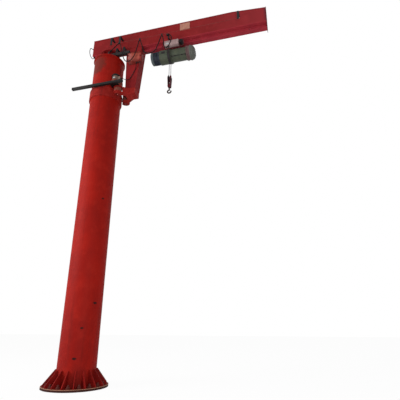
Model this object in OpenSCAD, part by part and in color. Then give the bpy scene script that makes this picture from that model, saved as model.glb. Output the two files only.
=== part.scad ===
// Column-mounted slewing jib crane with an electric wire rope hoist.
// Millimetres. The column stands on the Z axis, its base plate rests on Z = 0,
// the jib points along +X and the cable side of the jib faces -Y.

/* [Column] */
// Outside diameter of the column tube
column_d = 720; // [640:10:760]
// Wall thickness of the column tube
column_wall = 12; // [8:1:20]
// Height of the upper face of the column's top flange
column_top = 7350; // [7250:10:7380]
// Diameter of the top flange
top_flange_d = 770; // [740:10:800]
// Diameter of the base plate
base_d = 1200; // [1160:10:1400]
// Thickness of the base plate
base_t = 40; // [30:1:60]
// Number of gussets, and of anchor bolt holes between them
gusset_count = 18; // [12:1:20]
// Height of a gusset above the base plate
gusset_h = 265; // [200:5:400]
// Thickness of a gusset
gusset_t = 16; // [10:1:20]
// Diameter of an anchor bolt hole
anchor_hole_d = 39; // [30:1:45]
// Pitch circle diameter of the anchor bolts
anchor_pcd = 1040; // [1000:10:1080]

/* [Slewing carriage] */
// Height of the lower edge of the roller track band
band_z = 6150; // [5900:10:6160]
// Thickness of the roller track band
band_t = 26; // [16:1:30]
// Radius of a slewing roller
roller_r = 88; // [80:1:92]
// Angle of each roller from the jib's centreline
roller_angle = 26; // [25:1:28]
// Height of the underside of the carriage
carriage_z = 6245; // [6235:5:6260]
// Clear height between the carriage plates
carriage_gap = 120; // [110:5:130]
// Thickness of a carriage plate
carriage_t = 20; // [12:1:25]

/* [Jib] */
// Distance from the column axis to the tip of the jib
jib_reach = 3990; // [3900:10:4500]
// Distance from the column axis to the back of the jib
jib_back = 465; // [440:5:600]
// Height of the underside of the box girder
box_z = 7630; // [7620:1:7650]
// Depth of the box girder
box_h = 485; // [420:5:520]
// Width over the webs of the box girder
box_w = 200; // [190:5:220]
// Drop of the upper edge at the tip
tip_drop = 70; // [0:5:100]
// Width of the hoist track's flange
track_w = 116; // [110:2:124]
// Width of the leg that hangs from the girder
leg_w = 240; // [220:5:260]

/* [Hoist] */
// Height of the drum axis
drum_z = 7232; // [7220:1:7240]
// Radius of the drum casing
casing_r = 152; // [140:1:160]
// Position of the rope falls along the jib
rope_x = 1645; // [1640:1:1650]
// Diameter of the hoist rope
rope_d = 11; // [9:1:13]
// Height of the sheave axis in the hook block
sheave_z = 6560; // [6500:10:6600]

/* [Hidden] */

// Arcs that nothing turns on use this many segments
$fn = 72;

// Colours
paint_red = "firebrick";
deep_red = "darkred";
steel_grey = "slategray";
hoist_green = "darkseagreen";
motor_teal = "darkslategray";
near_black = "#2b2724";

// Column
column_r = column_d / 2;
band_h = 235;
track_r = column_r + band_t;
top_flange_t = 30;
gusset_foot = 215;
gusset_nose = 25;
gusset_edge = 25;

// Pivot on top of the column
pin_r = 80;
seat_r = 240;
seat_t = 30;
housing_gap = 6;
housing_z = column_top + seat_t + housing_gap;
running_fit = 0.05;

// Girder plates
web_t = 8;
plate_t = 10;
lip = 8;
tip_t = 10;
taper_start = 3200;
box_top = box_z + box_h;
end_drop = tip_drop * (jib_reach - taper_start) / (3990 - 3200);

// Hoist track under the girder
track_web_t = 10;
track_flange_t = 13;
track_z = 7505;
track_start = 950;

// Leg
leg_t = 10;
leg_head_t = 15;
leg_top = box_z - leg_head_t;
leg_in_top = 520;
leg_in_bottom = 570;
leg_out_top = 925;
leg_out_bottom = 820;

// Carriage and rollers
carriage_top = carriage_z + 2 * carriage_t + carriage_gap;
leg_bottom = carriage_top;
rolling_gap = 1;
roller_orbit = track_r + rolling_gap + roller_r;
roller_x = roller_orbit * cos(roller_angle);
roller_y = roller_orbit * sin(roller_angle);
roller_h = 96;
roller_z = carriage_z + carriage_t + (carriage_gap - roller_h) / 2;
roller_shaft_r = 25;
shaft_end = 15;
cap_r = 58;
cap_t = 25;
cap_floor = 5;
cap_bore_r = 27;
lobe_r = 106;
arm_half = 60;
arm_wall = 12;
arm_root = [690, 50];
plate_clear_r = track_r + 14;
arm_length = norm([arm_root[0] - roller_x, arm_root[1] - roller_y]);

// Slewing drive on the near roller
drive_x = 390;
drive_y = -292;
gearbox_r = 92;
gearbox_h = 118;
motor_r = 80;
motor_h = 118;
hood_r = 100;
motor_z = carriage_top + gearbox_h;
terminal_x = drive_x + 118;

// Bars that carry cables along the jib
outrigger_y = -450;
outrigger_size = 60;
outrigger_from = -650;
outrigger_to = 660;
rest_y = -200;
rest_size = 60;
rest_h = 76;
rest_z = 7380;
rest_from = 170;
rest_to = 650;
entry_x = 110;
entry_z = 7440;

// Festoon
wire_y = -270;
wire_z = 7705;
wire_d = 8;
wire_from = 150;
wire_to = 3360;
festoon_d = 22;
slew_cable_d = 14;
hanger_x = 362;
hanger_z = 7685;
carrier_inner_x = 929;
carrier_outer_x = 1505;
tow_x = 1674;
saddle_z = 7661;

// Trolley
wheel_r = 50;
wheel_rim_r = 55;
wheel_back_x = 1630;
wheel_front_x = 1910;
wheel_gap = 0.5;
wheel_z = track_z + track_flange_t + wheel_gap + wheel_r;
axle_r = 12;
side_y = 78;
side_t = 12;
side_from = 1530;
side_to = 2010;
side_bottom = 7400;
side_top = 7605;
tie_z = 7440;
tie_r = 18;
saddle_t = 30;
saddle_xs = [1710, 1880];

// Hoist
motor_end_x = 1184;
motor_casing_r = 170;
casing_from = 1400;
casing_mid = 1690;
casing_to = 2075;
hoist_end_x = 2258;
guide_r = 178;

// Hook block
groove_r = 52;
fall_y = groove_r + rope_d / 2;
sheave_r = 66;
sheave_w = 44;
sheave_pin_r = 16;
cheek_gap = 48;
cheek_t = 8;
cheek_r = 76;
cheek_top = 104;
crosshead_z = 6325;
crosshead_h = 70;
shank_r = 15;
hook_bend_r = 42;
hook_bar_r = 16;
hook_z = 6215;

// Route of the festoon cable, from the rest bar to the trolley's tow arm: [x, z]
festoon_route = [
    [110, 7440], [110, 7462], [150, 7498], [205, 7548], [262, 7605], [315, 7658], [362, 7685],
    [400, 7660], [425, 7600], [443, 7520], [460, 7440], [482, 7350], [510, 7260], [545, 7170],
    [585, 7110], [632, 7085], [690, 7085], [745, 7120], [790, 7180], [825, 7260], [850, 7350],
    [870, 7440], [888, 7530], [900, 7600], [929, 7650], [960, 7605], [985, 7530], [1010, 7440],
    [1035, 7350], [1070, 7270], [1120, 7225], [1190, 7205], [1260, 7205], [1320, 7225],
    [1365, 7280], [1400, 7370], [1430, 7460], [1455, 7550], [1475, 7620], [1505, 7650],
    [1532, 7610], [1545, 7540], [1553, 7460], [1565, 7370], [1590, 7300], [1635, 7278],
    [1680, 7310], [1715, 7380], [1740, 7450], [1750, 7530], [1730, 7610], [1690, 7650],
    [1674, 7650]];

// Route of the slewing motor's cable, from the junction box down the leg: [x, y, z]
slew_route = [
    [840, -180, 7095], [840, -180, 7060], [830, -165, 7020], [812, -140, 6975], [795, -130, 6930],
    [765, -128, 6860], [730, -128, 6780], [695, -128, 6710], [665, -140, 6655],
    [635, -180, 6610], [600, -230, 6587], [560, -275, 6586], [530, -292, 6589], [508, -292, 6589]];

// Route of the cable loop behind the jib: [x, z]
rear_route = [
    [-465, 7885], [-490, 7885], [-520, 7905], [-548, 7935], [-572, 7935], [-586, 7900],
    [-588, 7850], [-582, 7800], [-568, 7745], [-545, 7685], [-515, 7625], [-480, 7580],
    [-445, 7575], [-425, 7600], [-425, 7630]];
rear_y = -70;
rear_cable_d = 16;

function unit(v) = v / norm(v);
function in_plane(route, y) = [for (p = route) [p[0], y, p[1]]];

// A tube of round section swept along the points of a route
module swept_tube(route, d, sides = 8) {
    n = len(route);
    heading = [for (i = [0:n - 1]) unit(route[min(i + 1, n - 1)] - route[max(i - 1, 0)])];
    side_dir = [for (h = heading) unit(cross(h, abs(h[1]) < 0.9 ? [0, 1, 0] : [1, 0, 0]))];
    points = [for (i = [0:n - 1], k = [0:sides - 1])
        let (a = 360 * k / sides, up = cross(heading[i], side_dir[i]))
        route[i] + d / 2 * (cos(a) * side_dir[i] + sin(a) * up)];
    walls = [for (i = [0:n - 2], k = [0:sides - 1], j = [0, 1])
        let (k2 = (k + 1) % sides, a = i * sides, b = a + sides)
        j == 0 ? [a + k, a + k2, b + k2] : [a + k, b + k2, b + k]];
    start_cap = [for (k = [1:sides - 2]) [0, k + 1, k]];
    last = (n - 1) * sides;
    end_cap = [for (k = [1:sides - 2]) [last, last + k, last + k + 1]];
    polyhedron(points, concat(walls, start_cap, end_cap));
}

// A plate standing in the XZ plane, from its outline and its span in Y
module standing_plate(outline, y_from, thickness) {
    translate([0, y_from + thickness, 0])
        rotate([90, 0, 0])
            linear_extrude(thickness)
                polygon(outline);
}

// A bar along X between two positions
module rod_x(r, x_from, x_to, y, z) {
    translate([x_from, y, z])
        rotate([0, 90, 0])
            cylinder(r = r, h = x_to - x_from);
}

// A bar along Y between two positions
module rod_y(r, y_from, y_to, x, z) {
    translate([x, y_to, z])
        rotate([90, 0, 0])
            cylinder(r = r, h = y_to - y_from);
}

module block(low, high) {
    translate(low)
        cube(high - low);
}

module at_rollers() {
    for (side = [-1, 1])
        translate([roller_x, side * roller_y, 0])
            children();
}

// ---- Column ----

module base_plate() {
    color(paint_red)
        difference() {
            cylinder(d = base_d, h = base_t);
            for (i = [0:gusset_count - 1])
                rotate((i + 0.5) * 360 / gusset_count)
                    translate([anchor_pcd / 2, 0, -1])
                        cylinder(d = anchor_hole_d, h = base_t + 2);
        }
}

module base_gussets() {
    outline = [
        [column_r - 20, base_t], [column_r + gusset_foot, base_t],
        [column_r + gusset_foot, base_t + gusset_edge],
        [column_r + gusset_nose, base_t + gusset_h], [column_r - 20, base_t + gusset_h]];
    color(paint_red)
        difference() {
            for (i = [0:gusset_count - 1])
                rotate(i * 360 / gusset_count)
                    standing_plate(outline, -gusset_t / 2, gusset_t);
            cylinder(r = column_r, h = column_top);
        }
}

module column_tube() {
    color(paint_red)
        translate([0, 0, base_t])
            difference() {
                cylinder(r = column_r, h = column_top - top_flange_t - base_t);
                translate([0, 0, -1])
                    cylinder(r = column_r - column_wall, h = column_top);
            }
}

module roller_track_band() {
    color(deep_red)
        translate([0, 0, band_z])
            difference() {
                cylinder(r = track_r, h = band_h);
                translate([0, 0, -1])
                    cylinder(r = column_r, h = band_h + 2);
            }
}

module column_top_flange() {
    color(paint_red)
        translate([0, 0, column_top - top_flange_t])
            cylinder(d = top_flange_d, h = top_flange_t);
}

module pivot_pin() {
    color(steel_grey)
        translate([0, 0, column_top]) {
            cylinder(r = seat_r, h = seat_t);
            cylinder(r = pin_r, h = box_z - 60 - column_top);
        }
}

// ---- Pivot and girder ----

module pivot_housing() {
    flange_t = 24;
    barrel_r = 150;
    flange_r = 235;
    height = box_z - housing_z;
    color(near_black)
        translate([0, 0, housing_z])
            difference() {
                union() {
                    cylinder(r = flange_r, h = flange_t);
                    cylinder(r = barrel_r, h = height - flange_t);
                    translate([0, 0, height - flange_t])
                        cylinder(r = flange_r, h = flange_t);
                    for (i = [0:7])
                        rotate(22.5 + i * 45)
                            block([0, -7, flange_t / 2], [flange_r - 12, 7, height - flange_t / 2]);
                }
                translate([0, 0, -1])
                    cylinder(r = pin_r + running_fit, h = height - 50);
            }
}

module girder_webs() {
    outline = [
        [-jib_back + plate_t, box_z + plate_t], [jib_reach, box_z + plate_t],
        [jib_reach, box_top - plate_t - end_drop], [taper_start, box_top - plate_t],
        [-jib_back + plate_t, box_top - plate_t]];
    color(paint_red)
        for (y = [-box_w / 2, box_w / 2 - web_t])
            standing_plate(outline, y, web_t);
}

module girder_top_plate() {
    outline = [
        [-jib_back, box_top - plate_t], [taper_start, box_top - plate_t],
        [jib_reach, box_top - plate_t - end_drop], [jib_reach, box_top - end_drop],
        [taper_start, box_top], [-jib_back, box_top]];
    color(paint_red)
        standing_plate(outline, -box_w / 2 - lip, box_w + 2 * lip);
}

module girder_bottom_plate() {
    color(paint_red)
        block([-jib_back, -box_w / 2 - lip, box_z], [jib_reach, box_w / 2 + lip, box_z + plate_t]);
}

module girder_back_plate() {
    color(paint_red)
        block([-jib_back, -box_w / 2, box_z + plate_t],
              [-jib_back + plate_t, box_w / 2, box_top - plate_t]);
}

module girder_tip_plate() {
    color(near_black)
        block([jib_reach, -box_w / 2 - 16, track_z - 5],
              [jib_reach + tip_t, box_w / 2 + 16, box_top - end_drop + 6]);
}

module hoist_track() {
    color(paint_red) {
        block([track_start, -track_web_t / 2, track_z], [jib_reach, track_web_t / 2, box_z]);
        block([track_start, -track_w / 2, track_z],
              [jib_reach, track_w / 2, track_z + track_flange_t]);
    }
}

module track_stops() {
    stop_h = 45;
    color(near_black)
        for (x = [1400, 3590], side = [-1, 1])
            translate([x, side * (track_w / 2 + track_web_t / 2) / 2, track_z + track_flange_t])
                translate([0, -(track_w - track_web_t) / 4, 0])
                    cube([30, (track_w - track_web_t) / 2, stop_h]);
}

// ---- Leg ----

module leg_head_plate() {
    color(paint_red)
        block([leg_in_top - 15, -leg_w / 2 - 10, leg_top], [leg_out_top + 20, leg_w / 2 + 10, box_z]);
}

module leg_side_plates() {
    outline = [
        [leg_in_top, leg_top], [leg_out_top, leg_top],
        [leg_out_bottom, leg_bottom], [leg_in_bottom, leg_bottom]];
    color(paint_red)
        for (y = [-leg_w / 2, leg_w / 2 - leg_t])
            standing_plate(outline, y, leg_t);
}

// The inner and outer plate of the leg, which lean with its taper
module leg_cross_plates() {
    color(paint_red)
        for (xs = [[leg_in_top, leg_in_bottom], [leg_out_top - leg_t, leg_out_bottom - leg_t]])
            standing_plate(
                [[xs[0], leg_top], [xs[0] + leg_t, leg_top], [xs[1] + leg_t, leg_bottom], [xs[1], leg_bottom]],
                -leg_w / 2 + leg_t, leg_w - 2 * leg_t);
}

// ---- Slewing carriage ----

// Places its children at the roller on one side, with X towards the foot of the leg
module along_arm(side) {
    translate([roller_x, side * roller_y])
        rotate(side * atan2(arm_root[1] - roller_y, arm_root[0] - roller_x))
            children();
}

// Plan outline of a carriage plate: the foot of the leg and an arm to each roller
module carriage_outline() {
    difference() {
        union() {
            translate([leg_in_bottom - 20, -leg_w / 2])
                square([leg_out_bottom - leg_in_bottom + 20, leg_w]);
            for (side = [-1, 1])
                along_arm(side) {
                    circle(r = lobe_r);
                    translate([0, -arm_half])
                        square([arm_length, 2 * arm_half]);
                }
        }
        circle(r = plate_clear_r);
    }
}

module carriage_plates() {
    color(paint_red)
        difference() {
            for (z = [carriage_z, carriage_top - carriage_t])
                translate([0, 0, z])
                    linear_extrude(carriage_t)
                        carriage_outline();
            at_rollers()
                translate([0, 0, carriage_z - 1])
                    cylinder(r = roller_shaft_r + running_fit, h = carriage_top - carriage_z + 2);
        }
}

// Upright walls of the carriage: a box under the leg and a web along each arm
module carriage_walls() {
    color(paint_red)
        translate([0, 0, carriage_z + carriage_t]) {
            difference() {
                translate([leg_in_bottom, -leg_w / 2, 0])
                    cube([leg_out_bottom - leg_in_bottom, leg_w, carriage_gap]);
                translate([leg_in_bottom + leg_t, -leg_w / 2 + leg_t, -1])
                    cube([leg_out_bottom - leg_in_bottom - 2 * leg_t, leg_w - 2 * leg_t,
                          carriage_gap + 2]);
            }
            for (side = [-1, 1])
                along_arm(side)
                    translate([roller_r + 10, side > 0 ? arm_half - arm_wall : -arm_half, 0])
                        cube([arm_length - roller_r - 62, arm_wall, carriage_gap]);
        }
}

// Bearing caps under both rollers and over the far one
module roller_caps() {
    color(deep_red) {
        at_rollers()
            translate([0, 0, carriage_z - cap_t])
                difference() {
                    cylinder(r = cap_r, h = cap_t);
                    translate([0, 0, cap_floor])
                        cylinder(r = cap_bore_r, h = cap_t);
                }
        translate([roller_x, roller_y, carriage_top])
            difference() {
                cylinder(r = cap_r, h = cap_t);
                translate([0, 0, -cap_floor])
                    cylinder(r = cap_bore_r, h = cap_t);
            }
    }
}

module slewing_roller(side) {
    crown = 8;
    color(steel_grey)
        translate([roller_x, side * roller_y, 0]) {
            translate([0, 0, roller_z])
                rotate_extrude()
                    polygon([
                        [0, 0], [roller_r - crown, 0], [roller_r, crown],
                        [roller_r, roller_h - crown], [roller_r - crown, roller_h], [0, roller_h]]);
            translate([0, 0, carriage_z - shaft_end])
                cylinder(r = roller_shaft_r, h = carriage_top - carriage_z + 2 * shaft_end);
        }
}

module near_roller() {
    slewing_roller(-1);
}

module far_roller() {
    slewing_roller(1);
}

// ---- Slewing drive ----

// Plan outline round the roller's shaft and the motor's shaft
module drive_outline(grow) {
    dx = drive_x - roller_x;
    dy = drive_y + roller_y;
    translate([roller_x, -roller_y]) {
        circle(r = gearbox_r + grow);
        translate([dx, dy])
            circle(r = gearbox_r + grow);
        rotate(atan2(dy, dx))
            translate([0, -gearbox_r - grow])
                square([norm([dx, dy]), 2 * (gearbox_r + grow)]);
    }
}

module slew_gearbox() {
    rim_t = 16;
    color("darkkhaki")
        translate([0, 0, carriage_top])
            difference() {
                union() {
                    linear_extrude(gearbox_h)
                        drive_outline(0);
                    for (z = [0, gearbox_h / 2, gearbox_h - rim_t])
                        translate([0, 0, z])
                            linear_extrude(rim_t)
                                drive_outline(8);
                }
                translate([roller_x, -roller_y, -1])
                    cylinder(r = cap_bore_r, h = cap_t - cap_floor + 1);
            }
}

module slew_motor() {
    fin_t = 5;
    fin_count = 20;
    box_from = motor_r - 20;
    color("gainsboro")
        translate([drive_x, drive_y, motor_z]) {
            cylinder(r = motor_r - 8, h = motor_h);
            for (z = [0, motor_h - 14])
                translate([0, 0, z])
                    cylinder(r = motor_r, h = 14);
            for (i = [0:fin_count - 1])
                rotate((i + 0.5) * 360 / fin_count)
                    translate([motor_r - 20, -fin_t / 2, 0])
                        cube([20, fin_t, motor_h]);
            translate([box_from, -32, 26])
                cube([terminal_x - drive_x - box_from, 64, 78]);
        }
}

module slew_motor_hood() {
    color(near_black)
        translate([drive_x, drive_y, motor_z + motor_h])
            rotate_extrude()
                polygon([[0, 0], [hood_r, 0], [hood_r, 14], [hood_r - 16, 30], [0, 38]]);
}

// ---- Bars, boxes and cables on the jib ----

module outrigger_bar() {
    wall = 5;
    bar_z = carriage_top - outrigger_size;
    color(near_black) {
        difference() {
            block([outrigger_from, outrigger_y - outrigger_size / 2, bar_z],
                  [outrigger_to, outrigger_y + outrigger_size / 2, carriage_top]);
            block([outrigger_from - 1, outrigger_y - outrigger_size / 2 + wall, bar_z + wall],
                  [outrigger_to + 1, outrigger_y + outrigger_size / 2 - wall, carriage_top - wall]);
        }
        difference() {
            block([drive_x - 90, outrigger_y + outrigger_size / 2, carriage_top - carriage_t],
                  [drive_x + 110, -roller_y, carriage_top]);
            translate([roller_x, -roller_y, carriage_z])
                cylinder(r = lobe_r, h = 2 * carriage_top);
            cylinder(r = plate_clear_r, h = 2 * carriage_top);
        }
    }
}

// A bar under the jib, with two hangers and the gland that the festoon cable leaves from
module cable_rest_bar() {
    face_y = rest_y - rest_size / 2;
    color(near_black) {
        block([rest_from, face_y, rest_z], [rest_to, face_y + rest_size, rest_z + rest_h]);
        for (x = [rest_from + 85, rest_to - 205]) {
            block([x, rest_y, rest_z + rest_h], [x + 50, rest_y + 8, box_z - 8]);
            block([x, rest_y, box_z - 8], [x + 50, -box_w / 2 + 40, box_z]);
        }
        block([entry_x - 18, face_y - 10, rest_z + 8], [rest_from + 90, face_y, rest_z + rest_h - 8]);
        difference() {
            block([entry_x - 18, wire_y - 18, entry_z - 34], [entry_x + 18, face_y - 10, entry_z]);
            translate([entry_x, wire_y, entry_z - 40])
                cylinder(r = 6, h = 20);
        }
    }
}

// A closed box with rounded corners, its door frame proud of the front
module junction_box() {
    low = [622, -238, 7095];
    size = [360, 118, 235];
    door_t = 10;
    color("peru") {
        block([low[0], low[1] + door_t, low[2]], low + size);
        translate([low[0], low[1] + door_t, low[2]])
            rotate([90, 0, 0])
                linear_extrude(door_t)
                    difference() {
                        rounded_rectangle(8, size[0] - 8, 8, size[2] - 8, 18);
                        rounded_rectangle(30, size[0] - 30, 30, size[2] - 30, 12);
                    }
        translate([low[0], low[1] + door_t, low[2]])
            rotate([90, 0, 0])
                linear_extrude(door_t / 2)
                    rounded_rectangle(24, size[0] - 24, 24, size[2] - 24, 12);
    }
}

// A rectangle between two X and two Y values, with rounded corners
module rounded_rectangle(x0, x1, y0, y1, r) {
    translate([x0, y0 + r])
        square([x1 - x0, y1 - y0 - 2 * r]);
    translate([x0 + r, y0])
        square([x1 - x0 - 2 * r, y1 - y0]);
    for (x = [x0 + r, x1 - r], y = [y0 + r, y1 - r])
        translate([x, y])
            circle(r = r);
}

// A post that holds the festoon wire off the girder
module festoon_post(x) {
    t = 8;
    w = 50;
    eye = 9;
    block([x - w / 2, wire_y - t / 2, wire_z], [x + w / 2, wire_y + t / 2, wire_z + 220]);
    block([x - w / 2, wire_y + t / 2, wire_z + 220 - t], [x + w / 2, -box_w / 2, wire_z + 220]);
    block([x - w / 2, wire_y - eye, wire_z - eye], [x + w / 2, wire_y + eye, wire_z + eye]);
}

module festoon_brackets() {
    color(steel_grey)
        difference() {
            union() {
                for (x = [wire_from, hanger_x + 18, wire_to])
                    festoon_post(x);
                block([hanger_x - 14, wire_y - 10, hanger_z + festoon_d / 2],
                      [hanger_x + 14, wire_y + 10, wire_z + 12]);
            }
            rod_x(wire_d / 2, wire_from - 60, wire_to + 60, wire_y, wire_z);
        }
}

module festoon_wire() {
    color("silver")
        rod_x(wire_d / 2, wire_from - 35, wire_to + 35, wire_y, wire_z);
}

// A carrier that slides on the wire and holds the cable in a saddle
module festoon_carrier(x) {
    color("dimgray") {
        difference() {
            rod_x(16, x - 14, x + 14, wire_y, wire_z);
            rod_x(wire_d / 2 + 1, x - 15, x + 15, wire_y, wire_z);
        }
        block([x - 14, wire_y - 10, saddle_z], [x + 14, wire_y + 10, wire_z - 12]);
    }
}

module festoon_carrier_inner() {
    festoon_carrier(carrier_inner_x);
}

module festoon_carrier_outer() {
    festoon_carrier(carrier_outer_x);
}

module festoon_cable() {
    color("dimgray")
        swept_tube(in_plane(festoon_route, wire_y), festoon_d);
}

module slew_cable() {
    color("dimgray")
        swept_tube(slew_route, slew_cable_d);
}

module rear_cable() {
    color("dimgray")
        swept_tube(in_plane(rear_route, rear_y), rear_cable_d);
}

// ---- Trolley ----

module trolley_sides() {
    outline = [
        [side_from, side_bottom + 40], [side_from + 60, side_bottom], [side_to - 60, side_bottom],
        [side_to, side_bottom + 40], [side_to, side_top - 30], [side_to - 30, side_top],
        [side_from + 30, side_top], [side_from, side_top - 30]];
    color(motor_teal)
        difference() {
            for (y = [-side_y - side_t, side_y])
                standing_plate(outline, y, side_t);
            for (x = saddle_xs)
                rod_y(tie_r, -200, 200, x, tie_z);
            for (x = [wheel_back_x, wheel_front_x])
                rod_y(axle_r, -200, 200, x, wheel_z);
        }
}

module trolley_axles() {
    color(steel_grey)
        for (x = [wheel_back_x, wheel_front_x], side = [-1, 1])
            rod_y(axle_r, side > 0 ? 16 : -side_y - side_t, side > 0 ? side_y + side_t : -16,
                  x, wheel_z);
}

module trolley_wheel(x, side) {
    tread_in = 18;
    tread_out = 61;
    rim_out = 69;
    color(steel_grey)
        translate([x, 0, wheel_z])
            rotate([side > 0 ? -90 : 90, 0, 0])
                difference() {
                    union() {
                        translate([0, 0, tread_in])
                            cylinder(r = wheel_r, h = tread_out - tread_in);
                        translate([0, 0, tread_out])
                            cylinder(r = wheel_rim_r, h = rim_out - tread_out);
                    }
                    cylinder(r = axle_r + running_fit, h = 2 * rim_out);
                }
}

module wheel_near_back() {
    trolley_wheel(wheel_back_x, -1);
}

module wheel_near_front() {
    trolley_wheel(wheel_front_x, -1);
}

module wheel_far_back() {
    trolley_wheel(wheel_back_x, 1);
}

module wheel_far_front() {
    trolley_wheel(wheel_front_x, 1);
}

// Saddles that hang the drum casing from two tie rods
module trolley_saddles() {
    color(motor_teal)
        difference() {
            for (x = saddle_xs)
                union() {
                    block([x - saddle_t / 2, -side_y, drum_z + 110],
                          [x + saddle_t / 2, side_y, tie_z + 35]);
                    rod_y(tie_r, -side_y - side_t - 15, side_y + side_t + 15, x, tie_z);
                }
            rod_x(casing_r, casing_mid, casing_to, 0, drum_z);
        }
}

module travel_motor() {
    color(near_black)
        rod_y(46, -side_y - side_t - 105, -side_y - side_t, 1957, 7480);
}

module control_box() {
    color("gainsboro")
        block([1545, -200, 7400], [1900, -side_y - side_t - 15, 7540]);
}

// The arm that tows the festoon, with the clamp and the connector that the cable ends in
module tow_arm() {
    shelf_z = 7560;
    t = 8;
    color(steel_grey) {
        block([tow_x - 20, wire_y + 14, shelf_z], [tow_x + 20, -side_y - side_t, shelf_z + t]);
        block([tow_x - 20, wire_y + 14, shelf_z + t], [tow_x + 20, wire_y + 14 + t, saddle_z + 30]);
        block([tow_x - 20, wire_y - 12, saddle_z], [tow_x + 20, wire_y + 14, saddle_z + t]);
        block([tow_x - 50, wire_y - 18, saddle_z - 30], [tow_x, wire_y + 14 + t, saddle_z + t]);
    }
}

// ---- Hoist ----

// A solid turned about the drum axis, from its profile [distance from x_from, radius]
module turned_x(x_from, profile) {
    length = profile[len(profile) - 1][0];
    translate([x_from, 0, drum_z])
        rotate([0, 90, 0])
            rotate_extrude()
                polygon(concat([[0, 0]], [for (p = profile) [p[1], p[0]]], [[0, length]]));
}

module hoist_motor() {
    color(motor_teal)
        turned_x(motor_end_x, [
            [0, 104], [10, 124], [28, 137], [52, 143], [58, 148], [150, 148], [156, 143],
            [casing_from - motor_end_x - 34, 143], [casing_from - motor_end_x - 34, 158],
            [casing_from - motor_end_x, 158]]);
}

module motor_casing() {
    color(hoist_green)
        turned_x(casing_from, [
            [0, 158], [12, motor_casing_r], [casing_mid - casing_from - 14, motor_casing_r],
            [casing_mid - casing_from, casing_r]]);
}

module drum_casing() {
    color(hoist_green)
        rod_x(casing_r, casing_mid, casing_to, 0, drum_z);
}

// The ring that leads the rope onto the drum, round the motor casing
module rope_guide() {
    color(hoist_green)
        difference() {
            rod_x(guide_r, rope_x - 30, rope_x + 30, 0, drum_z);
            rod_x(motor_casing_r, casing_from, casing_to, 0, drum_z);
        }
}

module hoist_gearbox() {
    color(hoist_green)
        turned_x(casing_to, [
            [0, 172], [22, 172], [22, 164], [84, 166], [84, 176], [106, 176], [112, 166],
            [146, 160], [hoist_end_x - casing_to - 14, 138], [hoist_end_x - casing_to, 110]]);
}

// ---- Rope and hook block ----

module rope_falls() {
    color("silver")
        difference() {
            for (side = [-1, 1])
                translate([rope_x, side * fall_y, sheave_z])
                    cylinder(d = rope_d, h = drum_z - sheave_z - 110, $fn = 24);
            rod_x(guide_r, rope_x - 40, rope_x + 40, 0, drum_z);
        }
}

module cheek_outline() {
    translate([0, sheave_z])
        circle(r = cheek_r);
    polygon([
        [-cheek_r, sheave_z], [-40, crosshead_z], [40, crosshead_z], [cheek_r, sheave_z],
        [cheek_r - 12, sheave_z + 40], [26, sheave_z + cheek_top], [-26, sheave_z + cheek_top],
        [-cheek_r + 12, sheave_z + 40]]);
}

module block_cheeks() {
    color(paint_red)
        difference() {
            union() {
                for (x = [rope_x - cheek_gap / 2 - cheek_t, rope_x + cheek_gap / 2])
                    translate([x, 0, 0])
                        rotate([90, 0, 90])
                            linear_extrude(cheek_t)
                                cheek_outline();
                block([rope_x - cheek_gap / 2, -36, crosshead_z],
                      [rope_x + cheek_gap / 2, 36, crosshead_z + crosshead_h]);
            }
            translate([rope_x, 0, crosshead_z - 1])
                cylinder(r = shank_r + running_fit, h = crosshead_h + 2);
            rod_x(sheave_pin_r + running_fit, rope_x - cheek_gap, rope_x + cheek_gap, 0, sheave_z);
        }
}

// The grooved sheave with its pin, whose heads bear on the outsides of the cheeks
module block_sheave() {
    half = sheave_w / 2;
    head_r = 24;
    reach = cheek_gap / 2 + cheek_t;
    color(near_black)
        translate([rope_x, 0, sheave_z])
            rotate([0, 90, 0]) {
                rotate_extrude()
                    polygon([
                        [0, -half], [sheave_r, -half], [sheave_r, -12], [groove_r, -6],
                        [groove_r, 6], [sheave_r, 12], [sheave_r, half], [0, half]]);
                translate([0, 0, -reach - 12])
                    cylinder(r = head_r, h = 12);
                translate([0, 0, -reach])
                    cylinder(r = sheave_pin_r, h = 2 * reach);
                translate([0, 0, reach])
                    cylinder(r = head_r, h = 20);
            }
}

module lifting_hook() {
    nut_z = crosshead_z + crosshead_h + 5;
    nut_h = 30;
    neck_z = hook_z + hook_bend_r;
    throat = 3 * hook_bend_r;
    color("saddlebrown") {
        translate([rope_x, 0, neck_z]) {
            sphere(r = shank_r + 3);
            cylinder(r = shank_r, h = nut_z + nut_h - neck_z);
        }
        translate([rope_x, 0, nut_z])
            cylinder(r = cheek_gap / 2 - 5, h = nut_h, $fn = 6);
        translate([rope_x, 0, hook_z])
            rotate([90, 0, 0]) {
                difference() {
                    rotate_extrude()
                        translate([hook_bend_r, 0])
                            circle(r = hook_bar_r);
                    translate([0, 0, -throat / 2])
                        cube(throat);
                }
                translate([hook_bend_r, 0, 0])
                    rotate([-90, 0, 0])
                        cylinder(r1 = hook_bar_r, r2 = 11, h = 14);
            }
    }
}

base_plate();
base_gussets();
column_tube();
roller_track_band();
column_top_flange();
pivot_pin();
pivot_housing();
girder_webs();
girder_top_plate();
girder_bottom_plate();
girder_back_plate();
girder_tip_plate();
hoist_track();
track_stops();
leg_head_plate();
leg_side_plates();
leg_cross_plates();
carriage_plates();
carriage_walls();
roller_caps();
near_roller();
far_roller();
slew_gearbox();
slew_motor();
slew_motor_hood();
outrigger_bar();
cable_rest_bar();
junction_box();
festoon_brackets();
festoon_wire();
festoon_carrier_inner();
festoon_carrier_outer();
festoon_cable();
slew_cable();
rear_cable();
trolley_sides();
trolley_axles();
wheel_near_back();
wheel_near_front();
wheel_far_back();
wheel_far_front();
trolley_saddles();
travel_motor();
control_box();
tow_arm();
hoist_motor();
motor_casing();
drum_casing();
rope_guide();
hoist_gearbox();
rope_falls();
block_cheeks();
block_sheave();
lifting_hook();
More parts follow.
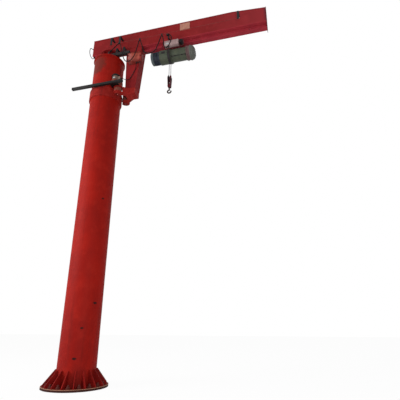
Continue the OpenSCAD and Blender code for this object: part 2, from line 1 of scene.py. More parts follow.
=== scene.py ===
# %% [markdown]
# # A slewing jib crane, dressed in Blender
# The crane is a steel column on a bolted foot, with a box girder that slews on a pin at its top
# and leans on two rollers lower down. The solids come from CAD and are the fixed frame. This
# script gives them their paint and wear, and adds what a plain solid leaves out: nuts, welds,
# ribs, ropes and cables. Each step below says what a piece is, and why it is made as it is.

# %% Load the frame
import math

import bmesh
import bpy
from mathutils import Matrix, Vector


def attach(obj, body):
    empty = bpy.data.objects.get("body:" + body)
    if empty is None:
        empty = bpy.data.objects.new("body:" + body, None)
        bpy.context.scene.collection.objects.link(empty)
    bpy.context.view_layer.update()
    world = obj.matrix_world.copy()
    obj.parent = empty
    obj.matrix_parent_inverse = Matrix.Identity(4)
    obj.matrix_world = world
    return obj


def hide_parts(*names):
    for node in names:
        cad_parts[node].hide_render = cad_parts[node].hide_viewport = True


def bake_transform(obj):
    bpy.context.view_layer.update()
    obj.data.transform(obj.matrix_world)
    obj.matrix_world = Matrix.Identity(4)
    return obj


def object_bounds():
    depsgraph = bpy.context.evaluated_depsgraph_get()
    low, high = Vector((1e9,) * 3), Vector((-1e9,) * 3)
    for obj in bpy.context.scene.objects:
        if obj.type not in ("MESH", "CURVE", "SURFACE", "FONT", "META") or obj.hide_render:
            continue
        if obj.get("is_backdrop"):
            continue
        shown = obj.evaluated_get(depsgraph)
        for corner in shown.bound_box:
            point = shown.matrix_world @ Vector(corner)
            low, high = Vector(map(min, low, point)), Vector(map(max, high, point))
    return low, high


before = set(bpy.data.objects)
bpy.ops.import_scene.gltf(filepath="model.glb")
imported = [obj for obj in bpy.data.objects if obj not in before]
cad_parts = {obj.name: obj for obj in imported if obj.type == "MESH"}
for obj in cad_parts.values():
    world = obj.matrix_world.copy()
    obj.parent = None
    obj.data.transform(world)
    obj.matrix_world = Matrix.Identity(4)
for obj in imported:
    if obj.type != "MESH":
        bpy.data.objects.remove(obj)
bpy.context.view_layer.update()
MM = 0.001

# %% [markdown]
# ## The camera
# Someone stood on the ground, a few metres off the column, and looked up along it. So the camera
# is low, tilted up by about twenty degrees, and has a wide lens. It comes first, because the
# cables are measured against what it sees.

# %% Set up the camera
EYE = (4.041, -6.383, 1.092)
TILT, HEADING = math.radians(109.698), math.radians(14.517)

camera_data = bpy.data.cameras.new("view_camera")
camera_data.sensor_width = 36
camera_data.lens = 31.21
camera_data.clip_end = 200
camera = bpy.data.objects.new("view_camera", camera_data)
camera.location = EYE
camera.rotation_euler = (TILT, 0, HEADING)
bpy.context.collection.objects.link(camera)
bpy.context.scene.camera = camera
print("camera at", EYE, "lens", camera_data.lens)

# %% [markdown]
# ## A few bench tools
# Blender's operators act on everything that is selected, so a piece is picked up alone before it
# is worked on. When it is done, its place is applied to its mesh, and the object sits at the
# origin like every CAD node. A repeated piece is modelled once. Each copy gets its own mesh.


# %% Picking up, putting down, applying
def put_down():
    """Leaves edit mode and selects nothing."""
    if bpy.context.object and bpy.context.object.mode != "OBJECT":
        bpy.ops.object.mode_set(mode="OBJECT")
    bpy.ops.object.select_all(action="DESELECT")


def pick_up(piece):
    """Selects one piece alone."""
    put_down()
    piece.select_set(True)
    bpy.context.view_layer.objects.active = piece


def new_piece(name):
    """Names the primitive that was just added."""
    piece = bpy.context.object
    piece.name = piece.data.name = name
    return piece


def settle(piece):
    """Puts the piece's place into its mesh, so that its object is at the origin, unturned."""
    pick_up(piece)
    bpy.ops.object.transform_apply(location=True, rotation=True, scale=True)
    return piece


print("pieces can be picked up and put down")


# %% Choosing faces and edges
def choose(piece, test, kind="FACE"):
    """In edit mode, selects the faces or edges whose centre and direction pass the test."""
    pick_up(piece)
    bpy.ops.object.mode_set(mode="EDIT")
    bpy.ops.mesh.select_mode(type=kind)
    bpy.ops.mesh.select_all(action="DESELECT")
    shape = bmesh.from_edit_mesh(piece.data)
    shape.normal_update()
    if kind == "FACE":
        for face in shape.faces:
            face.select_set(test(face.calc_center_median(), face.normal))
    else:
        for edge in shape.edges:
            middle = (edge.verts[0].co + edge.verts[1].co) / 2
            edge.select_set(test(middle, edge.verts[1].co - edge.verts[0].co))
    bmesh.update_edit_mesh(piece.data)


def upward(centre, normal):
    return normal.z > 0.9


def frontward(centre, normal):
    return normal.y < -0.9


def outward(centre, normal):
    return normal.x > 0.9


def both_ends(centre, normal):
    return abs(normal.x) > 0.9


print("faces can be chosen by where they look")


# %% Finishing, copying and joining
def smooth(piece, angle=35):
    """Smooths the shading of what is nearly flat."""
    pick_up(piece)
    bpy.ops.object.shade_smooth_by_angle(angle=math.radians(angle))
    return piece


def harden(piece, width, segments=2):
    """Rounds a finished piece's edges with a Bevel modifier, and smooths it."""
    pick_up(piece)
    bevel = piece.modifiers.new("edges", "BEVEL")
    bevel.width, bevel.segments = width, segments
    bevel.angle_limit = math.radians(40)
    bpy.ops.object.modifier_apply(modifier=bevel.name)
    return smooth(piece)


def merged(piece, distance):
    """Welds the corners that lie on each other."""
    pick_up(piece)
    bpy.ops.object.mode_set(mode="EDIT")
    bpy.ops.mesh.select_all(action="SELECT")
    bpy.ops.mesh.remove_doubles(threshold=distance)


def copied(piece, name, matrix):
    """A copy with its own mesh, moved by the matrix."""
    twin = bpy.data.objects.new(name, piece.data.copy())
    twin.data.name = name
    twin.data.transform(matrix)
    bpy.context.collection.objects.link(twin)
    return twin


def joined(name, pieces):
    """Several pieces made one."""
    pick_up(pieces[0])
    for piece in pieces[1:]:
        piece.select_set(True)
    bpy.ops.object.join()
    return new_piece(name)


print("pieces can be finished, copied and joined")


# %% Working the chosen faces
def chamfer(piece, test, offset, segments=2):
    """Cuts back the edges of the faces that pass the test."""
    choose(piece, test)
    bpy.ops.mesh.bevel(offset=offset, segments=segments)
    put_down()
    return piece


def panel(piece, test, border, shift=(0, 0, 0)):
    """Leaves a border round the faces that pass the test, and moves what is inside it."""
    choose(piece, test)
    bpy.ops.mesh.inset(thickness=border)
    bpy.ops.transform.translate(value=shift)
    put_down()
    return piece


def draw_out(shift, grow=1.0):
    """Draws the chosen faces out by a shift, and scales what is drawn."""
    bpy.ops.mesh.extrude_region_move(TRANSFORM_OT_translate={"value": shift})
    bpy.ops.transform.resize(value=(grow, grow, 1))


print("faces can be cut back, set in and drawn out")


# %% Blocks and rounds to start from
def block(name, low, high):
    """A box from its lowest to its highest corner, in metres."""
    put_down()
    middle = [(a + b) / 2 for a, b in zip(low, high)]
    size = [b - a for a, b in zip(low, high)]
    bpy.ops.mesh.primitive_cube_add(size=1, location=middle)
    piece = new_piece(name)
    piece.scale = size
    return settle(piece)


TURN = {"x": (0, math.pi / 2, 0), "y": (-math.pi / 2, 0, 0), "z": (0, 0, 0)}


def round_bar(name, radius, start, end, axis="z", sides=32):
    """A cylinder along an axis, from one end's point to the other end's."""
    put_down()
    start, end = Vector(start), Vector(end)
    bpy.ops.mesh.primitive_cylinder_add(
        vertices=sides,
        radius=radius,
        depth=(end - start).length,
        location=(start + end) / 2,
        rotation=TURN[axis],
    )
    return settle(new_piece(name))


def ring(name, major, minor, centre, axis="z", sides=48, minor_sides=8):
    """A torus round an axis."""
    put_down()
    bpy.ops.mesh.primitive_torus_add(
        major_radius=major,
        minor_radius=minor,
        major_segments=sides,
        minor_segments=minor_sides,
        location=centre,
        rotation=TURN[axis],
    )
    piece = settle(new_piece(name))
    bpy.ops.object.shade_smooth()
    return piece


print("blocks, rounds and rings can be added")

# %% [markdown]
# ## The cables
# A rubber cable is a fixed length of something bendy. The festoon cable feeds the hoist: it hangs
# in loops from two carriers on a wire. It follows the points of the CAD route, on arcs that go
# over into each other, because a cable bends evenly. A curve object gives the round section, and
# it is made a mesh. The rear cable loops out of the girder's back plate and in again.


# %% A smooth cable from its route
def on_arc(a, b, c, start, end, share):
    """A point between start and end, on the circle through a, b and c.

    It is on a straight line where the three are nearly in one.
    """
    u, v = b - a, c - a
    flat = u.cross(v)
    if flat.length < 0.005 * u.length * v.length:
        return start.lerp(end, share)
    across = flat.cross(u) * v.length_squared + v.cross(flat) * u.length_squared
    centre = a + across / (2 * flat.length_squared)
    first, last = start - centre, end - centre
    angle = first.angle(last)
    spread = first * math.sin(angle * (1 - share)) + last * math.sin(angle * share)
    return centre + spread / math.sin(angle)


def smooth_route(points, steps=6):
    """A line through the route's points. Each stretch goes over from one arc to the next."""
    points = [Vector(p) for p in points]
    ends = [2 * points[0] - points[1]] + points + [2 * points[-1] - points[-2]]
    line = []
    for a, b, c, d in zip(ends, ends[1:], ends[2:], ends[3:]):
        for step in range(steps):
            share = step / steps
            fade = math.cos(math.pi / 2 * share) ** 2
            before = on_arc(a, b, c, b, c, share)
            after = on_arc(b, c, d, b, c, share)
            line.append(before * fade + after * (1 - fade))
    line.append(points[-1])
    return line


def over_saddle(route, place):
    """Adds points each side of a saddle, on the arc through it and its two neighbours."""
    a, b, c = route[place - 1:place + 2]
    rise = [on_arc(a, b, c, a, b, quarter / 4) for quarter in (1, 2, 3)]
    fall = [on_arc(a, b, c, b, c, quarter / 4) for quarter in (1, 2, 3)]
    return route[:place] + rise + [b] + fall + route[place + 1:]


def route_length(line):
    return sum((b - a).length for a, b in zip(line, line[1:]))


print("routes can be rounded")


# %% A round tube along a line, and how it hangs
def cable(name, line, diameter):
    """A round tube along a line, closed at both ends."""
    put_down()
    data = bpy.data.curves.new(name, "CURVE")
    data.dimensions = "3D"
    data.bevel_depth = diameter / 2
    data.bevel_resolution = 3
    data.use_fill_caps = True
    run = data.splines.new("POLY")
    run.points.add(len(line) - 1)
    for spot, place in zip(run.points, line):
        spot.co = (*place, 1)
    piece = bpy.data.objects.new(name, data)
    bpy.context.collection.objects.link(piece)
    pick_up(piece)
    bpy.ops.object.convert(target="MESH")
    piece = new_piece(name)
    merged(piece, 0.00001)
    return smooth(piece, 50)


def hang(piece, line, node):
    """Hides the CAD node of a free cable that goes back into the crane, and prints the cable's
    length.
    """
    route_length(line)
    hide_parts(node)
    print(piece.name, "is", round(route_length(line), 3), "m long")


print("cables can be laid and hung")

# %% The festoon cable, in loops along the jib
FESTOON_Y = -0.27
FESTOON_D = 0.022
SADDLES = ((362, 7685), (929, 7650), (1505, 7650))
festoon_xz = [
    (110, 7440), (110, 7462), (150, 7498), (205, 7548), (262, 7605), (315, 7658), (362, 7685),
    (400, 7660), (425, 7600), (443, 7520), (460, 7440), (482, 7350), (510, 7260), (545, 7170),
    (585, 7110), (632, 7085), (690, 7085), (745, 7120), (790, 7180), (825, 7260), (850, 7350),
    (870, 7440), (888, 7530), (900, 7600), (929, 7650), (960, 7605), (985, 7530), (1010, 7440),
    (1035, 7350), (1070, 7270), (1120, 7225), (1190, 7205), (1260, 7205), (1320, 7225),
    (1365, 7280), (1400, 7370), (1430, 7460), (1455, 7550), (1475, 7620), (1505, 7650),
    (1532, 7610), (1545, 7540), (1553, 7460), (1565, 7370), (1590, 7300), (1635, 7278),
    (1680, 7310), (1715, 7380), (1740, 7450), (1750, 7530), (1730, 7610), (1690, 7650),
    (1674, 7650),
]
festoon_route = [Vector((x * MM, FESTOON_Y, z * MM)) for x, z in festoon_xz]
for x, z in SADDLES:
    place = festoon_route.index(Vector((x * MM, FESTOON_Y, z * MM)))
    festoon_route = over_saddle(festoon_route, place)
festoon_line = smooth_route(festoon_route, 5)
festoon = cable("festoon_flex", festoon_line, FESTOON_D)
hang(festoon, festoon_line, "festoon_cable")
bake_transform(festoon)

# %% The rear cable, a loop out of the girder's end
REAR_Y = -0.07
REAR_D = 0.016
rear_xz = [
    (-465, 7885), (-490, 7885), (-520, 7905), (-548, 7935), (-572, 7935), (-586, 7900),
    (-588, 7850), (-582, 7800), (-568, 7745), (-545, 7685), (-515, 7625), (-480, 7580),
    (-445, 7575), (-425, 7600), (-425, 7630),
]
rear_line = smooth_route([(x * MM, REAR_Y, z * MM) for x, z in rear_xz])
rear = cable("rear_flex", rear_line, REAR_D)
hang(rear, rear_line, "rear_cable")
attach(rear, "jib")

# %% The slewing motor's cable, clipped to the leg
SLEW_D = 0.014
slew_xyz = [
    (840, -180, 7095), (840, -180, 7060), (830, -165, 7020), (812, -140, 6975),
    (795, -130, 6930), (765, -128, 6860), (730, -128, 6780), (695, -128, 6710),
    (665, -140, 6655), (635, -180, 6610), (600, -230, 6587), (560, -275, 6586),
    (530, -292, 6589), (508, -292, 6589),
]
slew_line = smooth_route([(x * MM, y * MM, z * MM) for x, y, z in slew_xyz])
slew_flex = cable("slew_flex", slew_line, SLEW_D)
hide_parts("slew_cable")
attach(slew_flex, "jib")
print("slewing motor's cable:", round(route_length(slew_line), 3), "m, held by clips")

# %% [markdown]
# ## Shader sums written as plain Python
# A finish is a set of nodes. Wiring each Math node by hand hides the idea, so a small class wraps
# an output socket, and + - * | on it add the Math nodes. One method adds any other node. Colours
# are written as a paint chart gives them, 0 to 255.


# %% Colours, and the socket wrapper
def linear(value):
    """One part of a colour, from 0 to 255, as the shader wants it."""
    value /= 255
    return value / 12.92 if value <= 0.04045 else ((value + 0.055) / 1.055) ** 2.4


def chart(colour):
    """A colour from the paint chart made linear. A wire stays as it is."""
    if isinstance(colour, Wire):
        return colour
    return (*map(linear, colour), 1)


class Wire:
    """A value on its way through some nodes."""

    def __init__(self, nodes, socket):
        self.nodes, self.socket = nodes, socket

    def sum(self, operation, a, b):
        return self.nodes.add("ShaderNodeMath", {"operation": operation}, {0: a, 1: b})

    def __add__(self, other):
        return self.sum("ADD", self, other)

    def __mul__(self, other):
        return self.sum("MULTIPLY", self, other)

    def __sub__(self, other):
        return self.sum("SUBTRACT", self, other)

    def __rsub__(self, other):
        return self.sum("SUBTRACT", other, self)

    def __or__(self, other):
        return self.sum("MAXIMUM", self, other)

    __radd__, __rmul__ = __add__, __mul__


print("a chart's middle grey is", round(linear(128), 3), "to the shader")


# %% A node tree that takes those sums
class Nodes:
    """A node tree that is being wired."""

    def __init__(self, tree):
        self.tree = tree

    def feed(self, node, values):
        """Sets a node's sockets, or links them where a wire is given."""
        for key, value in values.items():
            if isinstance(value, Wire):
                self.tree.links.new(value.socket, node.inputs[key])
            else:
                node.inputs[key].default_value = value

    def add(self, kind, settings=None, values=None, output=0):
        """Adds a node: its settings first, then its sockets' values or links."""
        node = self.tree.nodes.new(kind)
        for key, value in (settings or {}).items():
            setattr(node, key, value)
        self.feed(node, values or {})
        return Wire(self, node.outputs[output])

    def seen(self):
        """1 for what the camera, a mirror or a glass sees, and 0 for what lights the scene."""
        rays = ("Is Camera Ray", "Is Glossy Ray", "Is Transmission Ray")
        camera_ray, glossy, through = (self.add("ShaderNodeLightPath", output=ray) for ray in rays)
        return camera_ray | glossy | through


print("node trees can be wired")


# %% The finish maker
class Finish(Nodes):
    """One material while it is put together."""

    def __init__(self, name):
        self.material = bpy.data.materials.new(name)
        self.material.use_nodes = True
        super().__init__(self.material.node_tree)
        self.shader = self.tree.nodes["Principled BSDF"]
        self.place = self.add("ShaderNodeTexCoord", output="Object")

    def stretched(self, x, y, z):
        """Object coordinates, scaled along each axis."""
        return self.add("ShaderNodeMapping", None, {"Vector": self.place, "Scale": (x, y, z)})

    def noise(self, scale, detail=3, rough=0.55, at=None):
        values = {"Vector": at or self.place, "Scale": scale, "Detail": detail, "Roughness": rough}
        return self.add("ShaderNodeTexNoise", None, values, "Fac")

    def step(self, value, low, high):
        """0 below low, 1 above high, smooth between. With low above high it falls."""
        settings = {"interpolation_type": "SMOOTHSTEP"}
        ends = {"Value": value, "From Min": low, "From Max": high}
        if low > high:
            ends = {"Value": value, "From Min": high, "From Max": low, "To Min": 1, "To Max": 0}
        return self.add("ShaderNodeMapRange", settings, ends)

    def axis(self, name):
        """One of the object coordinates: X, Y or Z."""
        return self.add("ShaderNodeSeparateXYZ", None, {0: self.place}, name)

    def far_from(self, point, squeeze=1.0):
        """The distance to a point on the piece. A squeeze above 1 flattens what it draws."""
        place = self.stretched(1, 1, squeeze)
        point = (point[0], point[1], point[2] * squeeze)
        settings = {"operation": "DISTANCE"}
        return self.add("ShaderNodeVectorMath", settings, {0: place, 1: point}, "Value")

    def mix(self, share, first, second):
        """The first colour, going to the second as the share rises to 1."""
        values = {0: share, 6: chart(first), 7: chart(second)}
        return self.add("ShaderNodeMix", {"data_type": "RGBA"}, values, 2)

    def bump(self, height, distance, strength=1, under=None):
        """Raises the surface by a height. It lies on the bump under it, if there is one."""
        values = {"Height": height, "Distance": distance, "Strength": strength}
        if under:
            values["Normal"] = under
        return self.add("ShaderNodeBump", None, values)

    def done(self, colour, rough, metal=0, normal=None, gloss=0.5):
        """Feeds the shader and gives back the material."""
        values = {"Base Color": colour, "Roughness": rough, "Metallic": metal}
        values["Specular IOR Level"] = gloss
        if normal:
            values["Normal"] = normal
        self.feed(self.shader, values)
        print("finish:", self.material.name, len(self.tree.nodes), "nodes")
        return self.material


print("finishes can be made")


# %% [markdown]
# ## Red paint that has stood outdoors
# The steelwork has a thick coat of red enamel over a primer. Sun fades it in broad patches, rain
# draws dirt down in thin streaks, and here and there a chip shows rust. So the colour is three
# reds mixed by a broad noise, then streaks from a noise that is stretched along the height, then
# chips where a fine noise peaks. The same chips lower the bump and roughen the surface.


# %% The red paint's recipe
def red_paint(name, deep, body, bright, chips=0.72, streaks=0.35, extra=None):
    """A weathered red coat. extra adds what only this piece has, on top of the colour."""
    f = Finish(name)
    broad = f.noise(1.3, 3)
    cloudy = f.noise(5.5, 4, 0.6)
    runs = f.noise(9, 4, 0.65, f.stretched(1, 1, 0.06))
    fine = f.noise(46, 4, 0.7)
    colour = f.mix(f.step(broad, 0.36, 0.66), deep, body)
    colour = f.mix(f.step(cloudy, 0.45, 0.75) * 0.6, colour, bright)
    dirt = f.step(runs, 0.54, 0.74) * streaks
    colour = f.mix(dirt, colour, (78, 20, 18))
    chip = f.step(fine * 0.7 + cloudy * 0.3, chips - 0.04, chips)
    colour = f.mix(chip * 0.8, colour, (74, 36, 26))
    if extra:
        colour = extra(f, colour, broad, cloudy)
    peel = f.noise(210, 2)
    rough = 0.56 + dirt * 0.25 + chip * 0.35 + broad * 0.12
    coat = f.bump(peel, 0.0006, 0.35)
    normal = f.bump(1 - chip, 0.0008, 0.6, coat)
    return f.done(colour, rough, 0, normal, gloss=0.08)


print("red paint can be mixed")


# %% The column's red, with its knocks and its worn patch
def column_marks(f, colour, broad, cloudy):
    """Knocks on the tube, the worn brown patch near its top, a dark streak down its right side
    under the flange, and darker paint towards its foot.
    """
    knocks = [
        (0.134, -0.334, 0.502, 0.032),
        (0.205, -0.296, 1.025, 0.026),
        (0.331, -0.141, 1.476, 0.032),
        (0.306, -0.189, 3.608, 0.028),
        (-0.29, 0.21, 2.35, 0.026),
        (-0.05, 0.355, 5.1, 0.030),
    ]
    ragged = cloudy * 0.02 + f.noise(42, 3, 0.7) * 0.06 - 0.032
    for x, y, z, radius in knocks:
        near = f.step(f.far_from((x, y, z), 2.0) + ragged, radius * 1.7, radius * 1.2)
        colour = f.mix(near * 0.95, colour, (30, 14, 14))
    rough_edge = cloudy * 0.2 + f.noise(23, 4, 0.7) * 0.2 - 0.1
    worn = f.step(f.far_from((-0.14, -0.33, 7.08)) + rough_edge, 0.41, 0.29)
    colour = f.mix(worn * 0.72, colour, (80, 35, 28))
    # A dark streak runs down the tube's right side, just under the flange.
    dark_streak = f.step(f.far_from((0.358, -0.03, 7.0), 0.2) + cloudy * 0.03, 0.06, 0.02)
    colour = f.mix(dark_streak * 0.6, colour, (60, 30, 30))
    # The tube's paint is darker towards its foot.
    foot = f.step(f.axis("Z") + cloudy * 0.35, 0.62, 0.2)
    return f.mix(foot * 0.55, colour, (84, 20, 15))


column_red = red_paint(
    "column_red", (128, 15, 8), (142, 19, 9), (150, 27, 16), streaks=0.3, extra=column_marks
)


# %% The reds of the foot and the band, with the foot's scuffed rim, its painted shade and its painted highlight
def rim_wear_and_painted_light(f, colour, broad, cloudy):
    """Rust creeps in from the foot's rim. Its outer side is painted dark as painted shade, and the
    pale line along its top is partly scuffed, dusty steel and partly a painted highlight.
    """
    across = f.add("ShaderNodeVectorMath", {"operation": "MULTIPLY"},
                   {0: f.place, 1: (1, 1, 0)})
    reach = f.add("ShaderNodeVectorMath", {"operation": "LENGTH"}, {0: across}, "Value")
    rust = f.step(reach + cloudy * 0.12, 0.55, 0.66)
    colour = f.mix(rust * 0.75, colour, (92, 46, 32))
    # Painted shade: the plate's outer side is painted near-black.
    side = f.step(reach, 0.5975, 0.5995)
    colour = f.mix(side * 0.85, colour, (40, 22, 20))
    # A pale line along the top of the plate's side: partly scuffed steel, partly a painted
    # highlight.
    edge = f.step(reach + f.noise(34, 3) * 0.01, 0.598, 0.602) * f.step(f.axis("Z"), 0.034, 0.038)
    return f.mix(edge * 0.85, colour, (206, 160, 132))


foot_red = red_paint("foot_red", (104, 18, 14), (122, 22, 17), (136, 30, 22),
                     chips=0.66, streaks=0.2, extra=rim_wear_and_painted_light)
gusset_red = red_paint("gusset_red", (108, 16, 13), (126, 20, 16), (142, 28, 22), chips=0.69)
band_red = red_paint("band_red", (118, 22, 19), (140, 29, 24), (158, 44, 36), streaks=0.5)


# %% The reds of the jib, its leg, its track and the block
def girder_highlight_and_tip_shade(f, colour, broad, cloudy):
    """The girder's outer half is painted lighter, a painted highlight, and its last few
    centimetres at the tip are painted dark, a painted shade.
    """
    # Painted highlight: lighter paint from the middle of the girder out to its tip.
    out = f.step(f.axis("X") + broad * 0.8, 2.0, 4.6)
    colour = f.mix(out * 0.5, colour, (150, 50, 56))
    # Painted shade: a dark band at the very tip.
    end = f.step(f.axis("X") + cloudy * 0.03, 3.93, 3.99)
    return f.mix(end * 0.7, colour, (84, 34, 42))


jib_red = red_paint(
    "jib_red", (110, 21, 22), (121, 25, 27), (132, 32, 34), chips=0.73,
    streaks=0.2, extra=girder_highlight_and_tip_shade
)
edge_red = red_paint("edge_red", (112, 30, 42), (124, 34, 44), (134, 40, 48))
# A lighter copy of the jib's red for the girder's underside: painted light that lifts the shade in
# the recess under the box.
lit_under_red = red_paint("lit_under_red", (146, 42, 52), (156, 46, 54), (164, 54, 60))
# A dark copy of the jib's red for the girder's tip plate: painted shade.
shaded_tip_maroon = red_paint("shaded_tip_maroon", (74, 28, 36), (84, 32, 42), (92, 38, 46))
leg_red = red_paint("leg_red", (110, 21, 23), (120, 25, 27), (130, 30, 31))
# A lighter copy of the jib's red for the hoist track and its stops: painted light, as on the
# underside.
track_red = red_paint("track_red", (134, 36, 46), (146, 42, 52), (156, 50, 58), chips=0.7)
block_red = red_paint("block_red", (62, 24, 32), (84, 30, 38), (120, 40, 46), chips=0.62)


# %% [markdown]
# ## Machine finishes
# Motors and gearboxes come in their makers' dull enamels, with oil and dust on them. Bare steel
# is a metal with brown rust creeping over it. Both are one recipe each, with the colours, the
# amount of dirt and the amount of rust as its values.


# %% The recipes for dull enamel and for bare steel
def enamel(name, base, shade, dust, dirt=0.5, rough=0.5, chips=0.72, extra=None):
    """A maker's dull paint, with dust on it and chips."""
    f = Finish(name)
    broad = f.noise(4.5, 4, 0.6)
    fine = f.noise(38, 4, 0.68)
    runs = f.noise(16, 4, 0.6, f.stretched(1, 1, 0.15))
    colour = f.mix(f.step(broad, 0.38, 0.66), base, shade)
    grime = f.step(runs, 0.45, 0.7) * dirt
    colour = f.mix(grime, colour, dust)
    if extra:
        colour = extra(f, colour)
    chip = f.step(fine, chips - 0.03, chips)
    colour = f.mix(chip * 0.8, colour, (58, 42, 34))
    rough_by = rough + grime * 0.3 + chip * 0.2
    normal = f.bump(f.noise(160, 3) * 0.6 - chip, 0.0006, 0.5)
    return f.done(colour, rough_by, 0, normal, gloss=0.2)


def steel(name, clean, rust, amount, rough=0.38):
    """Bare steel going to rust as the amount rises."""
    f = Finish(name)
    broad = f.noise(7, 5, 0.7)
    grain = f.noise(120, 3)
    rusty = f.step(broad, 1 - amount - 0.16, 1 - amount + 0.1)
    colour = f.mix(rusty, f.mix(grain * 0.4, clean, (70, 68, 68)), rust)
    normal = f.bump(grain + rusty * 0.5, 0.0007, 0.5)
    return f.done(colour, rough + rusty * 0.42, 0.95 - rusty * 0.8, normal)


print("enamel and steel can be mixed")

# %% The enamels that are alike all over
hoist_green = enamel("hoist_green", (60, 66, 52), (52, 57, 46), (74, 72, 58), 0.4)
motor_teal = enamel("motor_teal", (70, 80, 82), (58, 67, 70), (92, 92, 84), 0.4)
navy_ring = enamel("navy_ring", (32, 38, 50), (26, 31, 40), (52, 52, 52), 0.3)
gearbox_ochre = enamel("gearbox_ochre", (122, 56, 42), (104, 42, 32), (138, 78, 60), chips=0.68)
motor_pale = enamel("motor_pale", (132, 108, 96), (112, 88, 78), (92, 64, 54), 0.6)
control_grey = enamel("control_grey", (158, 134, 132), (138, 112, 112), (110, 80, 78), 0.4)
dark_steel = enamel("dark_steel", (25, 20, 22), (19, 16, 18), (44, 34, 31), 0.4)
bar_black = enamel("bar_black", (15, 12, 12), (11, 9, 9), (32, 27, 26), 0.4, 0.46)
trolley_maroon = enamel("trolley_maroon", (104, 34, 40), (84, 28, 34), (78, 46, 44))
sign_tan = enamel("sign_tan", (172, 122, 102), (158, 106, 92), (136, 88, 74), 0.4, chips=0.76)


# %% The gearbox's and the junction box's banded enamels, and the steels
def drive_bands(f, colour):
    """The drive end is plum near the drum, and grey-green from there out to its cover."""
    out = f.step(f.axis("X") + f.noise(20, 2) * 0.01, 2.156, 2.164)
    return f.mix(out, colour, (82, 84, 78))


def box_sides(f, colour):
    """The door is pale pink towards its hinge side, deep red towards its lock side, and darker
    towards its bottom.
    """
    wave = f.noise(6, 3) * 0.1
    pink = f.step(f.axis("X") + wave, 0.80, 0.72)
    colour = f.mix(pink * 0.75, colour, (158, 92, 88))
    red = f.step(f.axis("X") + wave * 0.4, 0.93, 0.97)
    colour = f.mix(red * 0.85, colour, (112, 22, 20))
    low = f.step(f.axis("Z") + wave, 7.22, 7.13)
    return f.mix(low * 0.7, colour, (92, 22, 20))


drive_plum = enamel("drive_plum", (82, 60, 60), (68, 48, 50), (94, 76, 70), 0.4,
                    extra=drive_bands)
box_rust = enamel("box_rust", (152, 70, 56), (136, 56, 44), (118, 52, 42), 0.45,
                  chips=0.68, extra=box_sides)
bare_steel = steel("bare_steel", (168, 164, 158), (104, 62, 40), 0.42)
zinc = steel("zinc", (186, 188, 188), (132, 112, 92), 0.36, 0.42)
bolt_brown = steel("bolt_brown", (96, 52, 42), (84, 30, 22), 0.75, 0.6)
roller_rust = steel("roller_rust", (140, 92, 78), (116, 58, 46), 0.75, 0.5)
hook_steel = steel("hook_steel", (46, 42, 42), (44, 32, 30), 0.6, 0.5)


# %% Rubber and wire rope
def rubber(name, colour, worn):
    """Black cable rubber, dulled by dust where it is not rubbed."""
    f = Finish(name)
    dusty = f.step(f.noise(14, 4), 0.42, 0.7)
    grain = f.noise(240, 2)
    return f.done(f.mix(dusty * 0.5, colour, worn), 0.6 + dusty * 0.3, 0,
                  f.bump(grain, 0.0004, 0.4), gloss=0.12)


cable_black = rubber("cable_black", (11, 9, 10), (30, 23, 23))
buffer_black = rubber("buffer_black", (26, 25, 26), (70, 66, 62))


def laid_wire(name, twist, crest, groove):
    """Wire rope: the strands are a wave that climbs as it goes round."""
    f = Finish(name)
    strands = f.add("ShaderNodeTexWave", {"bands_direction": "DIAGONAL"},
                    {"Vector": f.place, "Scale": twist, "Distortion": 0.6}, "Fac")
    grease = f.step(f.noise(11, 3), 0.4, 0.66)
    colour = f.mix(strands, groove, crest)
    colour = f.mix(grease * 0.55, colour, groove)
    return f.done(colour, 0.5 + grease * 0.2, 0.15, f.bump(strands, 0.0012, 0.8), gloss=0.15)


rope_wire = laid_wire("rope_wire", 90, (52, 54, 66), (16, 17, 25))
stay_wire = laid_wire("stay_wire", 160, (124, 56, 52), (96, 36, 34))
print("machine finishes ready")

# %% [markdown]
# ## Painting the CAD nodes
# A CAD node whose shape is right stays, and only gets its finish. One table says which finish
# each of them wears, so that a repaint is one line.

# %% Which finish each node wears
wears = {
    column_red: ["column_tube", "column_top_flange"],
    foot_red: ["base_plate"],
    gusset_red: ["base_gussets"],
    band_red: ["roller_track_band", "carriage_plates", "carriage_walls", "roller_caps"],
    jib_red: ["girder_webs", "girder_back_plate", "pivot_housing"],
    edge_red: ["girder_top_plate"],
    lit_under_red: ["girder_bottom_plate"],
    shaded_tip_maroon: ["girder_tip_plate"],
    leg_red: ["leg_head_plate", "leg_side_plates", "leg_cross_plates"],
    track_red: ["hoist_track", "track_stops"],
    block_red: ["block_cheeks"],
    trolley_maroon: ["trolley_sides", "trolley_saddles"],
    # The cable rest bar wears dark steel; its dark paint also stands in for the deep shade in the
    # gap under the girder.
    dark_steel: ["festoon_brackets", "festoon_carrier_inner", "festoon_carrier_outer",
                 "cable_rest_bar", "slew_motor_hood", "rope_guide", "tow_arm", "block_sheave",
                 "travel_motor"],
    bar_black: ["outrigger_bar"],
    roller_rust: ["near_roller", "far_roller"],
    bare_steel: ["pivot_pin", "wheel_near_back", "wheel_near_front", "wheel_far_back",
                 "wheel_far_front", "trolley_axles"],
    stay_wire: ["festoon_wire"],
    rope_wire: ["rope_falls"],
    gearbox_ochre: ["slew_gearbox"],
    motor_pale: ["slew_motor"],
    box_rust: ["junction_box"],
    control_grey: ["control_box"],
    navy_ring: ["hoist_motor"],
    hoist_green: ["motor_casing", "drum_casing"],
    drive_plum: ["hoist_gearbox"],
    hook_steel: ["lifting_hook"],
}


def paint(piece, finish):
    """Puts a finish in every slot of a piece, on the object, and leaves its mesh alone."""
    if not piece.material_slots:
        piece.data.materials.append(None)
    for place in piece.material_slots:
        place.link = "OBJECT"
        place.material = finish
    return piece


